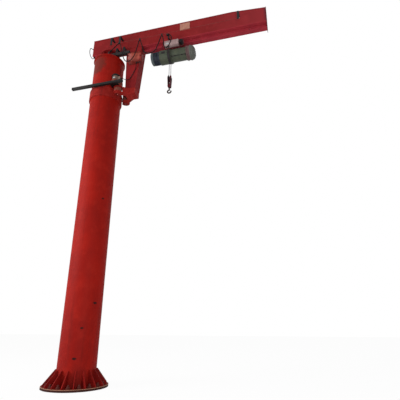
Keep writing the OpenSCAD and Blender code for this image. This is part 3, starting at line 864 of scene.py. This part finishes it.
for finish, names in wears.items():
    for name in names:
        paint(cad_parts[name], finish)
for flex in (festoon, rear, slew_flex):
    paint(flex, cable_black)
unpainted = set(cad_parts) - {name for names in wears.values() for name in names}
print("nodes with no finish of their own:", sorted(unpainted))
# %% [markdown]
# ## Nuts, bolts and welds
# Nothing tells the size of a crane better than its fixings. A bolt head is a six-sided cylinder
# whose top is inset and raised to a chamfer, over a washer. It is made once for each size and
# copied. A weld bead is a thin bar whose rings swell and shrink, like a welder's ripples.

# %% A bolt's model, and the ways it can stand
AIM = {
    "up": Matrix.Identity(4),
    "down": Matrix.Rotation(math.pi, 4, "X"),
    "front": Matrix.Rotation(math.pi / 2, 4, "X"),
    "back": Matrix.Rotation(-math.pi / 2, 4, "X"),
    "out": Matrix.Rotation(math.pi / 2, 4, "Y"),
    "in": Matrix.Rotation(-math.pi / 2, 4, "Y"),
}


def model_bolt(name, size, stud=0.0):
    """A washer with a hexagon on it, standing up from the origin. A stud can stick out of it."""
    seat, top = size * 0.18, size * 0.93
    washer = round_bar(name + "_washer", size * 1.25, (0, 0, 0), (0, 0, seat), sides=20)
    head = round_bar(name + "_head", size, (0, 0, seat), (0, 0, top), sides=6)
    parts = [washer, panel(head, upward, size * 0.16, (0, 0, size * 0.09))]
    if stud:
        foot, end = (0, 0, top - 0.002), (0, 0, top + stud)
        shank = round_bar(name + "_stud", size * 0.55, foot, end, sides=14)
        parts.append(chamfer(shank, upward, size * 0.12, 1))
    return smooth(joined(name, parts), 30)


print("a bolt can stand", len(AIM), "ways")


def fit(piece, finish, body, *stands_for, slot=None):
    """Paints a finished piece, fixes it to its body, and hides the node it stands for.

    The slot is not used. Blender adds a number to a finish whose name the CAD has used
    before.
    """
    paint(piece, finish)
    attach(piece, body)
    if stands_for:
        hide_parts(*stands_for)
    return piece


def put_up(model, name, body, finish, spots, aim="up", turn=0.0):
    """Fits a copy of a model at each spot. Each is turned a bit further than the one before."""
    for number, spot in enumerate(spots, 1):
        matrix = Matrix.Translation(spot) @ AIM[aim] @ Matrix.Rotation(turn * number, 4, "Z")
        fit(copied(model, f"{name}_{number:02d}", matrix), finish, body)


def done_with(*models):
    """The models themselves are scrapped once their copies are up."""
    for model in models:
        bpy.data.objects.remove(model)


def round_spots(count, radius, middle, axis="z", start=0.0):
    """Places evenly round a circle whose axis is X or Z."""
    x, y, z = middle
    spots = []
    for i in range(count):
        a = math.radians(start) + 2 * math.pi * i / count
        u, v = radius * math.cos(a), radius * math.sin(a)
        spots.append((x + u, y + v, z) if axis == "z" else (x, y + u, z + v))
    return spots


# %% Anchor bolts of the foot
anchor = model_bolt("anchor", 0.032, stud=0.034)
anchor_spots = round_spots(18, 0.52, (0, 0, 0.04), start=10)
put_up(anchor, "anchor_bolt", "column", bolt_brown, anchor_spots, turn=0.7)
done_with(anchor)
print("anchor bolts:", len(anchor_spots))


# %% The weld bead
def bead(name, start, end, radius=0.005, ripple=0.018):
    """A straight weld bead. Its rings take turns at being thick and thin."""
    start, end = Vector(start), Vector(end)
    length = (end - start).length
    along = (end - start).normalized()
    steps = min(int(length / ripple), 160)
    line = [start.lerp(end, i / steps) for i in range(steps + 1)]
    piece = cable(name, line, radius * 2)

    def on_thick_ring(centre, direction):
        number = round((centre - start).dot(along) / length * steps)
        return abs(direction.normalized().dot(along)) < 0.3 and number % 2 == 0

    choose(piece, on_thick_ring, "EDGE")
    bpy.ops.transform.shrink_fatten(value=radius * 0.22)
    put_down()
    return piece


print("weld beads can be laid")

# %% Welds round the column and along the plates' edges
ROUND_WELDS = (
    ("foot_weld", gusset_red, 0.363, 0.008, 0.042),
    ("top_flange_weld", column_red, 0.362, 0.007, 7.319),
    ("band_low_weld", band_red, 0.363, 0.007, 6.149),
    ("band_high_weld", band_red, 0.363, 0.007, 6.386),
)
for name, finish, reach, thick, z in ROUND_WELDS:
    fit(ring(name, reach, thick, (0, 0, z), sides=96), finish, "column")

GUSSETS, GUSSET_FACE = 18, 0.0095
gusset_bead = bead("gusset_bead", (0.368, 0, 0.041), (0.57, 0, 0.041), 0.0055, 0.011)
for number in range(GUSSETS):
    turn = Matrix.Rotation(math.radians(360 / GUSSETS * number), 4, "Z")
    for mark, y in ((2, -GUSSET_FACE), (1, GUSSET_FACE)):
        place = turn @ Matrix.Translation((0, y, 0))
        fit(copied(gusset_bead, f"gusset_weld_{number:02d}_{mark}", place), gusset_red, "column")
done_with(gusset_bead)

WEB_FACE, WEB_FOOT, WEB_TOP = 0.1005, 7.6415, 8.1035
WEB_BACK_X, TAPER_X, TIP_X, TIP_DROP = -0.46, 3.2, 3.985, 0.07
for side, y in (("near", -WEB_FACE), ("far", WEB_FACE)):
    for where, z, drop in (("low", WEB_FOOT, 0), ("high", WEB_TOP, TIP_DROP)):
        back, bend, tip = (WEB_BACK_X, y, z), (TAPER_X, y, z), (TIP_X, y, z - drop)
        fit(bead(f"web_{side}_{where}_weld", back, bend, 0.0055, 0.022), jib_red, "jib")
        fit(bead(f"web_{side}_{where}_end_weld", bend, tip, 0.0055, 0.022), jib_red, "jib")

LEG_FACE, LEG_TOP, LEG_FOOT = 0.1205, 7.612, 6.41
for mark, y in ((2, -LEG_FACE), (1, LEG_FACE)):
    for edge, top_x, low_x in (("in", 0.5205, 0.5700), ("out", 0.9245, 0.8200)):
        top, low = (top_x, y, LEG_TOP), (low_x, y, LEG_FOOT)
        fit(bead(f"leg_{edge}_weld_{mark}", top, low), leg_red, "jib")
print("column, girder and leg are welded")

# %% [markdown]
# ## The pivot, the carriage and its rollers
# The jib turns on a pin that stands on the column. Its housing is bolted up to the girder. Low
# down, the carriage pushes two rollers against the band. Their shaft ends sit under bolted caps.

# %% Bolts and nipples of the slewing gear
small = model_bolt("small", 0.0085)
middle_bolt = model_bolt("middle_bolt", 0.014)
ROLLER_X, ROLLER_Y = 0.4269, 0.2082
ROLLERS = (("near", -ROLLER_Y), ("far", ROLLER_Y))
housing_spots = [(x, y, 7.606) for x in (-0.199, 0.199) for y in (-0.05, 0.05)]
put_up(middle_bolt, "housing_bolt", "jib", jib_red, housing_spots, "down", 0.5)
put_up(middle_bolt, "bearing_bolt", "jib", zinc, round_spots(8, 0.208, (0, 0, 7.410)), turn=0.9)


def cap_spots(y, z):
    """Places round the cap on a roller's shaft."""
    return round_spots(6, 0.043, (ROLLER_X, y, z), start=20)


for name, y in ROLLERS:
    put_up(small, f"{name}_low_cap_bolt", "jib", dark_steel, cap_spots(y, 6.220), "down", 0.6)
put_up(small, "far_top_cap_bolt", "jib", dark_steel, cap_spots(ROLLER_Y, 6.430), "up", 0.6)


def grease_nipple(name, place, aim):
    """A collar, a neck and a small round head, drawn up from one bar."""
    nipple = round_bar(name, 0.006, (0, 0, 0), (0, 0, 0.006), sides=12)
    choose(nipple, upward)
    bpy.ops.mesh.inset(thickness=0.0025)
    reach = 0.0035
    for wide, rise in ((0.0028, 0.004), (0.0038, 0.0012), (0.0038, 0.002), (0.0022, 0.0016)):
        draw_out((0, 0, rise), wide / reach)
        reach = wide
    put_down()
    nipple.data.transform(Matrix.Translation(place) @ AIM[aim])
    return nipple


fit(grease_nipple("pivot_nipple", (0.0, -0.149, 7.50), "front"), bare_steel, "jib")
for name, y in ROLLERS:
    nipple = grease_nipple(f"{name}_roller_nipple", (ROLLER_X, y, 6.221), "down")
    fit(nipple, bare_steel, "jib")
print("slewing gear fixings up")

# %% Weld all round under the carriage's head plate
HEAD_Z = 7.613
HEAD_WELDS = {
    "near": ((0.519, -0.1215, HEAD_Z), (0.926, -0.1215, HEAD_Z)),
    "far": ((0.519, 0.1215, HEAD_Z), (0.926, 0.1215, HEAD_Z)),
    "in": ((0.5185, -0.12, HEAD_Z), (0.5185, 0.12, HEAD_Z)),
    "out": ((0.9265, -0.12, HEAD_Z), (0.9265, 0.12, HEAD_Z)),
}
for side, (start, end) in HEAD_WELDS.items():
    fit(bead(f"leg_head_{side}_weld", start, end), leg_red, "jib")
print("the leg's head is welded")

# %% [markdown]
# ## Edges a hand could touch
# No folded box or sawn plate has a knife edge. A few solids near the eye are copied, their doubled
# corners are merged, and their edges are rounded. Each copy then stands for its node.


# %% Rounded copies of a few solids
def rounded(name, finish, body, width, slot=None):
    """A CAD node's copy, closed up and with its sharp edges rounded."""
    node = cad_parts[name]
    twin = copied(node, name + "_rounded", node.matrix_world)
    merged(twin, 0.00002)
    bpy.ops.mesh.dissolve_limited(angle_limit=math.radians(0.5))
    fit(harden(twin, width), finish, body, name, slot=slot)


rounded("control_box", control_grey, "trolley", 0.004)
rounded("junction_box", box_rust, "jib", 0.003)
rounded("trolley_sides", trolley_maroon, "trolley", 0.0015)
rounded("block_cheeks", block_red, "hook_block", 0.0015)
rounded("carriage_plates", band_red, "jib", 0.0025, slot="jib_red")
rounded("outrigger_bar", bar_black, "jib", 0.004)
rounded("slew_gearbox", gearbox_ochre, "jib", 0.002)
print("edges rounded")

# %% [markdown]
# ## The slewing drive
# A gearbox on the near roller's shaft carries an upright motor. The fan cover on top is a grille
# of rings: one disc whose face is inset again and again, with every second ring pushed in. The
# gearbox has its cover bolts, a round cap and an oil plug.


# %% Fan grille, cover bolts, cap and plug
def grille(name, radius, depth, rings=6, sides=40):
    """A disc with ring slots in its top, standing up from the origin."""
    disc = round_bar(name, radius, (0, 0, 0), (0, 0, depth), sides=sides)
    choose(disc, upward)
    for number in range(2 * rings):
        bpy.ops.mesh.inset(thickness=radius * 0.4 / rings)
        draw_out((0, 0, depth * (0.7 if number % 2 else -0.7)))
    return smooth(disc, 30)


drive_grille = grille("slew_fan_grille", 0.088, 0.006)
drive_grille.data.transform(Matrix.Translation((0.390, -0.292, 6.6785)))
fit(drive_grille, dark_steel, "jib")
cover_spots = round_spots(9, 0.086, (ROLLER_X, -ROLLER_Y, 6.523), start=-40)[:6]
put_up(small, "gearbox_bolt", "jib", dark_steel, cover_spots, "up", 0.5)
cap_foot, cap_top = (ROLLER_X, -ROLLER_Y, 6.521), (ROLLER_X, -ROLLER_Y, 6.531)
cap = round_bar("gearbox_cap", 0.046, cap_foot, cap_top, sides=40)
panel(cap, upward, 0.014, (0, 0, 0.006))
fit(harden(cap, 0.002), gearbox_ochre, "jib")
plug = model_bolt("plug", 0.013)
put_up(plug, "oil_plug", "jib", bare_steel, [(0.372, -0.384, 6.440)], "front")
print("slewing drive dressed")

# %% Motor name plate, left bare, and terminal box lid
blank = block("slew_blank_plate", (0.362, -0.3745, 6.560), (0.418, -0.3715, 6.600))
fit(harden(blank, 0.001), zinc, "jib")
lid = block("slew_terminal_lid", (0.5075, -0.326, 6.547), (0.5125, -0.258, 6.629))
panel(lid, outward, 0.012, (0.002, 0, 0))
fit(harden(lid, 0.0015), motor_pale, "jib")
print("bare plate and lid fitted")

# %% [markdown]
# ## Glands
# A cable goes into a box through a gland: a hexagon, a round body and a domed nut that grips it.
# One gland is modelled for a thin cable. Thicker cables get scaled copies of it.

# %% One gland, set wherever a cable goes in
gland = round_bar("gland", 0.013, (0, 0, 0), (0, 0, 0.007), sides=6)
choose(gland, upward)
for grow, rise in ((0.84, 0.0082), (1.16, 0.0002), (1.0, 0.0102), (0.8, 0.0062), (0.8, 0.0022)):
    draw_out((0, 0, rise), grow)
smooth(gland, 40)
GLANDS = (
    ("rear_top_gland", "jib", (-0.464, REAR_Y, 7.885), "in", 1.1),
    ("rear_low_gland", "jib", (-0.425, REAR_Y, 7.631), "down", 1.1),
    ("entry_gland", "jib", (0.110, FESTOON_Y, 7.439), "up", 1.35),
    ("junction_gland_1", "jib", (0.840, -0.18, 7.096), "down", 1.0),
    ("junction_gland_2", "jib", (0.885, -0.18, 7.096), "down", 1.0),
    ("junction_gland_3", "jib", (0.930, -0.18, 7.096), "down", 1.0),
    ("slew_motor_gland", "jib", (0.5115, -0.292, 6.589), "out", 0.9),
    ("control_gland_1", "trolley", (1.60, -0.155, 7.401), "down", 1.0),
    ("control_gland_2", "trolley", (1.65, -0.155, 7.401), "down", 1.0),
)
for name, body, place, aim, scale in GLANDS:
    size = Matrix.Diagonal((scale, scale, scale, 1))
    copy = copied(gland, name, Matrix.Translation(place) @ AIM[aim] @ size)
    fit(copy, buffer_black, body)
done_with(gland)
print("glands set:", len(GLANDS))

# %% [markdown]
# ## Boxes, plates and clips
# The junction box has hinges, a lock and a rain lip. The sign plate on the girder and the plates
# on the machines stay bare. The cable to the slewing motor is held to the leg by saddle clips.

# %% Hinges, lock and rain lip of the junction box
hinge = round_bar("hinge", 0.006, (0.6335, -0.2425, -0.022), (0.6335, -0.2425, 0.022), sides=14)
panel(hinge, lambda centre, normal: abs(normal.z) > 0.9, 0.0015)
for number, z in enumerate((7.15, 7.275), 1):
    copy = copied(hinge, f"door_hinge_{number}", Matrix.Translation((0, 0, z)))
    fit(copy, dark_steel, "jib")
done_with(hinge)
lock = round_bar("door_lock", 0.013, (0.955, -0.238, 7.212), (0.955, -0.249, 7.212), "y", 24)
choose(lock, frontward)
bpy.ops.mesh.inset(thickness=0.004)
draw_out((0, 0.004, 0))
put_down()
fit(lock, dark_steel, "jib")
lip = block("rain_lip", (0.616, -0.252, 7.3295), (0.988, -0.121, 7.334))
choose(lip, frontward)
draw_out((0, -0.004, -0.006))
fit(harden(lip, 0.0012), box_rust, "jib")
print("junction box dressed")


# %% Bare plates, and the sign's rivets
def bare_plate(name, low, high, finish, body, slot=None):
    """A plate that faces the front, with a raised rim round its bare middle."""
    plate = panel(block(name, low, high), frontward, 0.006, (0, 0.0012, 0))
    fit(harden(plate, 0.0008), finish, body, slot=slot)


bare_plate("sign_plate", (1.905, -0.1045, 7.873), (2.155, -0.1, 8.085), sign_tan, "jib")
rivet = model_bolt("rivet", 0.006)
sign_corners = [(x, -0.1035, z) for x in (1.918, 2.142) for z in (7.886, 8.072)]
put_up(rivet, "sign_rivet", "jib", zinc, sign_corners, "front", 0.3)
bare_plate("control_plate", (1.585, -0.2025, 7.425), (1.665, -0.2, 7.475), zinc, "trolley",
           slot="motor_pale")
print("bare plates fitted")

# %% Saddle clips on the leg
LEG_SLOPE = math.radians(-24)
clip = block("clip", (-0.018, -0.136, -0.006), (0.018, -0.1195, 0.006))
choose(clip, frontward)
bpy.ops.mesh.inset(thickness=0.004)
draw_out((0, -0.0035, 0))
harden(clip, 0.002)
for number, (x, z) in enumerate(((0.765, 6.86), (0.730, 6.78), (0.695, 6.71)), 1):
    place = Matrix.Translation((x, 0, z)) @ Matrix.Rotation(LEG_SLOPE, 4, "Y")
    fit(copied(clip, f"leg_clip_{number}", place), dark_steel, "jib")
done_with(clip)
print("leg clips fitted")

# %% [markdown]
# ## The festoon's small parts
# The carriers' wire is pulled tight between two end posts. Each end of it has a ferrule. A band
# round the cable holds it in each saddle.

# %% Ferrules and cable bands
for name, x in (("inner", 0.122), ("outer", 3.372)):
    start, end = (x, FESTOON_Y, 7.705), (x + 0.02, FESTOON_Y, 7.705)
    sleeve = round_bar(f"{name}_ferrule", 0.0075, start, end, "x", 20)
    fit(chamfer(sleeve, both_ends, 0.0015), zinc, "jib")
band = ring("cable_band", 0.0125, 0.0022, (0, 0, 0), "x", 24)
bands = (("carrier_inner", 0.929, 7.650), ("carrier_outer", 1.505, 7.650), ("jib", 0.362, 7.685))
for body, x, z in bands:
    copy = copied(band, f"cable_band_{body}", Matrix.Translation((x, FESTOON_Y, z)))
    fit(copy, dark_steel, body)
done_with(band)
print("festoon parts fitted")

# %% [markdown]
# ## The trolley
# Nuts close the wheel axles and the tie rods that carry the hoist. Rubber pads on the track's end
# stops meet the wheels. The travel motor gets its cooling ribs and a fan cover.

# %% Nuts, pads and ribs of the trolley
WHEEL_XS, WHEEL_Z = (1.630, 1.910), 7.5685
TIE_XS, TIE_Z = (1.560, 1.770, 1.980), 7.585
axle_nut = model_bolt("axle_nut", 0.019)
for name, y, aim in (("near", -0.0905, "front"), ("far", 0.0905, "back")):
    axle_ends = [(x, y, WHEEL_Z) for x in WHEEL_XS]
    tie_ends = [(x, y, TIE_Z) for x in TIE_XS]
    put_up(axle_nut, f"{name}_axle_nut", "trolley", dark_steel, axle_ends, aim, 0.4)
    put_up(middle_bolt, f"{name}_side_bolt", "trolley", dark_steel, tie_ends, aim, 0.5)
for name, x0, x1 in (("back", 1.430, 1.444), ("front", 3.576, 3.590)):
    for side, y0, y1 in (("near", -0.056, -0.020), ("far", 0.020, 0.056)):
        pad = block(f"{name}_{side}_stop_pad", (x0, y0, 7.521), (x1, y1, 7.561))
        panel(pad, both_ends, 0.008)
        fit(harden(pad, 0.003, 3), buffer_black, "jib")
MOTOR_X, MOTOR_Z = 1.957, 7.480
for number in range(5):
    place = (MOTOR_X, -0.112 - 0.013 * number, MOTOR_Z)
    rib = ring(f"travel_motor_rib_{number + 1}", 0.0465, 0.0022, place, "y", 40, 6)
    fit(rib, dark_steel, "trolley")
travel_grille = grille("travel_fan_grille", 0.041, 0.004, 4, 32)
travel_grille.data.transform(Matrix.Translation((MOTOR_X, -0.1945, MOTOR_Z)) @ AIM["front"])
fit(travel_grille, dark_steel, "trolley")
print("trolley dressed")

# %% [markdown]
# ## The hoist
# The motor is ribbed along its length and has a fan cowl on its end. The ribs are thin plates set
# round the shell: one is modelled, and its copies are turned round the hoist's axis. The gearbox
# end has a ring of bolts, and a limit rod with two collars runs below the drum.

# %% Motor ribs and cowl
HOIST_Z = 7.232
RIBS = 36
rib = block("motor_rib", (1.246, -0.0022, 0.1465), (1.384, 0.0022, 0.1555))
choose(rib, upward)
bpy.ops.transform.resize(value=(0.94, 0.5, 1))
put_down()
for number in range(RIBS):
    turn = Matrix.Rotation(math.radians(360 / RIBS * number), 4, "X")
    place = Matrix.Translation((0, 0, HOIST_Z)) @ turn
    fit(copied(rib, f"motor_rib_{number + 1:02d}", place), navy_ring, "trolley")
done_with(rib)
COWL_END = Vector((1.1815, 0, HOIST_Z))
cowl = round_bar("motor_cowl", 0.1535, COWL_END, (1.242, 0, HOIST_Z), "x", 72)
chamfer(cowl, lambda centre, normal: normal.x < -0.9, 0.010, 3)
choose(cowl, lambda centre, normal: normal.x < -0.9 and (centre - COWL_END).length < 0.01)
for number in range(10):
    bpy.ops.mesh.inset(thickness=0.0062)
    draw_out((-0.006 if number % 2 else 0.006, 0, 0))
fit(smooth(cowl), motor_teal, "trolley")
print("hoist motor dressed")

# %% Flange bolts, hoops and end cover
flange_spots = round_spots(10, 0.1625, (1.4005, 0, HOIST_Z), "x", 18)
put_up(small, "motor_flange_bolt", "trolley", dark_steel, flange_spots, "in", 0.4)
cover_spots = round_spots(12, 0.095, (2.258, 0, HOIST_Z), "x", 15)
put_up(small, "end_cover_bolt", "trolley", dark_steel, cover_spots, "out", 0.4)
HOOPS = (
    ("drum_hoop", 0.1525, 0.0035, (1.712, 1.880, 2.050)),
    ("casing_hoop", 0.170, 0.003, (1.415, 1.595, 1.688)),
)
for name, reach, thick, xs in HOOPS:
    for number, x in enumerate(xs, 1):
        hoop = ring(f"{name}_{number}", reach, thick, (x, 0, HOIST_Z), "x", 96)
        fit(hoop, hoist_green, "trolley")
bare_plate("hoist_plate", (1.470, -0.1735, 7.205), (1.560, -0.168, 7.262), dark_steel, "trolley")
print("hoist casing dressed")

# %% The limit rod under the drum
ROD_Y, ROD_Z = -0.122, 7.118


def rod_piece(name, radius, start_x, end_x, sides):
    """A round of the limit rod, between two places along it."""
    return round_bar(name, radius, (start_x, ROD_Y, ROD_Z), (end_x, ROD_Y, ROD_Z), "x", sides)


rod = chamfer(rod_piece("limit_rod", 0.006, 1.700, 2.066, 18), both_ends, 0.0015)
collars = [rod_piece("collar", 0.013, x, x + 0.018, 20) for x in (1.780, 1.960)]
hangers = [block("hanger", (x, -0.130, 7.108), (x + 0.006, -0.088, 7.150)) for x in (1.714, 2.050)]
limit_rod = joined("limit_rod", [rod] + collars + hangers)
fit(harden(limit_rod, 0.0008, 1), dark_steel, "trolley")
print("limit rod fitted")

# %% [markdown]
# ## The ropes, the block and the hook
# Two falls of wire rope come down from the drum, and bend round the sheave in the block. When
# the block is lowered they grow longer.
# The hook has a spring latch across its mouth.

# %% Rope falls and the bend under the sheave
ROPE_X, FALL_Y, SHEAVE_Z, ROPE_D = 1.645, 0.0575, 6.560, 0.011
FALL_LENGTH, FALL_STEPS, BEND_STEPS = 0.508, 48, 24
for name, y in (("near", -FALL_Y), ("far", FALL_Y)):
    heights = [SHEAVE_Z + FALL_LENGTH * i / FALL_STEPS for i in range(FALL_STEPS + 1)]
    fall = cable(f"rope_fall_{name}", [Vector((ROPE_X, y, z)) for z in heights], ROPE_D)
    paint(fall, rope_wire)
    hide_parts("rope_falls")
    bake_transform(fall)
under_sheave = []
for i in range(BEND_STEPS + 1):
    a = math.pi * i / BEND_STEPS
    y, z = -FALL_Y * math.cos(a), SHEAVE_Z - FALL_Y * math.sin(a)
    under_sheave.append(Vector((ROPE_X, y, z)))
fit(cable("rope_bend", under_sheave, ROPE_D), rope_wire, "hook_block")
print("rope falls:", FALL_LENGTH, "m on each side")

# %% Block bolts, sheave nipple, latch and its pin
CHEEK_BOLTS = ((-0.03, 6.362), (0.03, 6.362), (0, 6.645))
for name, x, aim in (("front", 1.677, "out"), ("back", 1.613, "in")):
    spots = [(x, y, z) for y, z in CHEEK_BOLTS]
    put_up(small, f"cheek_{name}_bolt", "hook_block", dark_steel, spots, aim, 0.5)
fit(grease_nipple("sheave_nipple", (1.697, 0, SHEAVE_Z), "out"), bare_steel, "hook_block")
LATCH_TOP = Matrix.Translation((1.66, 0, 6.262))
LATCH_LEAN = Matrix.Rotation(math.radians(-26), 4, "Y")
latch = block("hook_latch", (1.658, -0.009, 6.2225), (1.662, 0.009, 6.266))
latch.data.transform(LATCH_TOP @ LATCH_LEAN @ LATCH_TOP.inverted())
choose(latch, lambda centre, normal: normal.z > 0.7)
draw_out((-0.006, 0, 0.004))
fit(harden(latch, 0.0006, 1), dark_steel, "hook")
latch_pin = round_bar("latch_pin", 0.004, (1.657, -0.016, 6.264), (1.657, 0.016, 6.264), "y", 14)
chamfer(latch_pin, lambda centre, normal: abs(normal.y) > 0.9, 0.001)
fit(latch_pin, dark_steel, "hook")
done_with(small, middle_bolt, plug, axle_nut, rivet)
print("block and hook dressed")

# %% [markdown]
# ## Floor, light and sky
# A studio floor that turns up into a backdrop would be huge for a crane of this height. So a wide
# pale floor ends in a white world. What the camera sees of them is white, through Light Path,
# while the floor still takes the crane's shadow and the metals still mirror the white.

# %% The floor and the world
WHITE = (1, 1, 1, 1)
FLOOR_GREY = (0.82, 0.82, 0.82, 1)
FLOOR_GLOW = 0.95
SKY_LIGHT = 0.52

put_down()
bpy.ops.mesh.primitive_plane_add(size=60, location=(0, 0, -0.002))
floor = settle(new_piece("studio_floor"))
pale = Finish("studio_floor")
pale.feed(pale.shader, {"Base Color": FLOOR_GREY, "Roughness": 0.9})
matt = Wire(pale, pale.shader.outputs[0])
share = pale.seen() * FLOOR_GLOW
glow = pale.add("ShaderNodeEmission", None, {"Color": WHITE, "Strength": 1.0})
both = pale.add("ShaderNodeMixShader", None, {0: share, 1: matt, 2: glow})
pale.feed(pale.tree.nodes["Material Output"], {"Surface": both})
paint(floor, pale.material)
floor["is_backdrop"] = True

world = bpy.data.worlds.new("studio_world")
bpy.context.scene.world = world
world.use_nodes = True
world.node_tree.nodes.clear()
sky = Nodes(world.node_tree)
soft = sky.add("ShaderNodeBackground", None, {"Color": WHITE, "Strength": SKY_LIGHT})
white = sky.add("ShaderNodeBackground", None, {"Color": WHITE, "Strength": 1.0})
both = sky.add("ShaderNodeMixShader", None, {0: sky.seen(), 1: soft, 2: white})
sky.feed(world.node_tree.nodes.new("ShaderNodeOutputWorld"), {"Surface": both})
print("floor and world set, sky light", SKY_LIGHT)


# %% Soft boxes
def soft_box(name, place, aim, size, watts):
    """A large square lamp that looks at a point."""
    data = bpy.data.lights.new(name, "AREA")
    data.shape, data.size, data.energy = "SQUARE", size, watts
    lamp = bpy.data.objects.new(name, data)
    lamp.location = place
    lamp.rotation_euler = (Vector(aim) - Vector(place)).to_track_quat("-Z", "Y").to_euler()
    bpy.context.collection.objects.link(lamp)
    print("lamp:", name, watts, "W")


soft_box("key_left", (-7.5, -6.0, 5.5), (0, 0, 4.2), 5.0, 960)
soft_box("low_fill", (5.5, -7.5, 1.6), (1.6, 0, 6.6), 3.0, 330)
soft_box("high_back", (-3.0, 7.0, 11.0), (1.2, 0, 6.8), 4.0, 200)
bpy.context.scene.view_settings.view_transform = "Standard"

# %% Sizes, and the end
low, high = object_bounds()
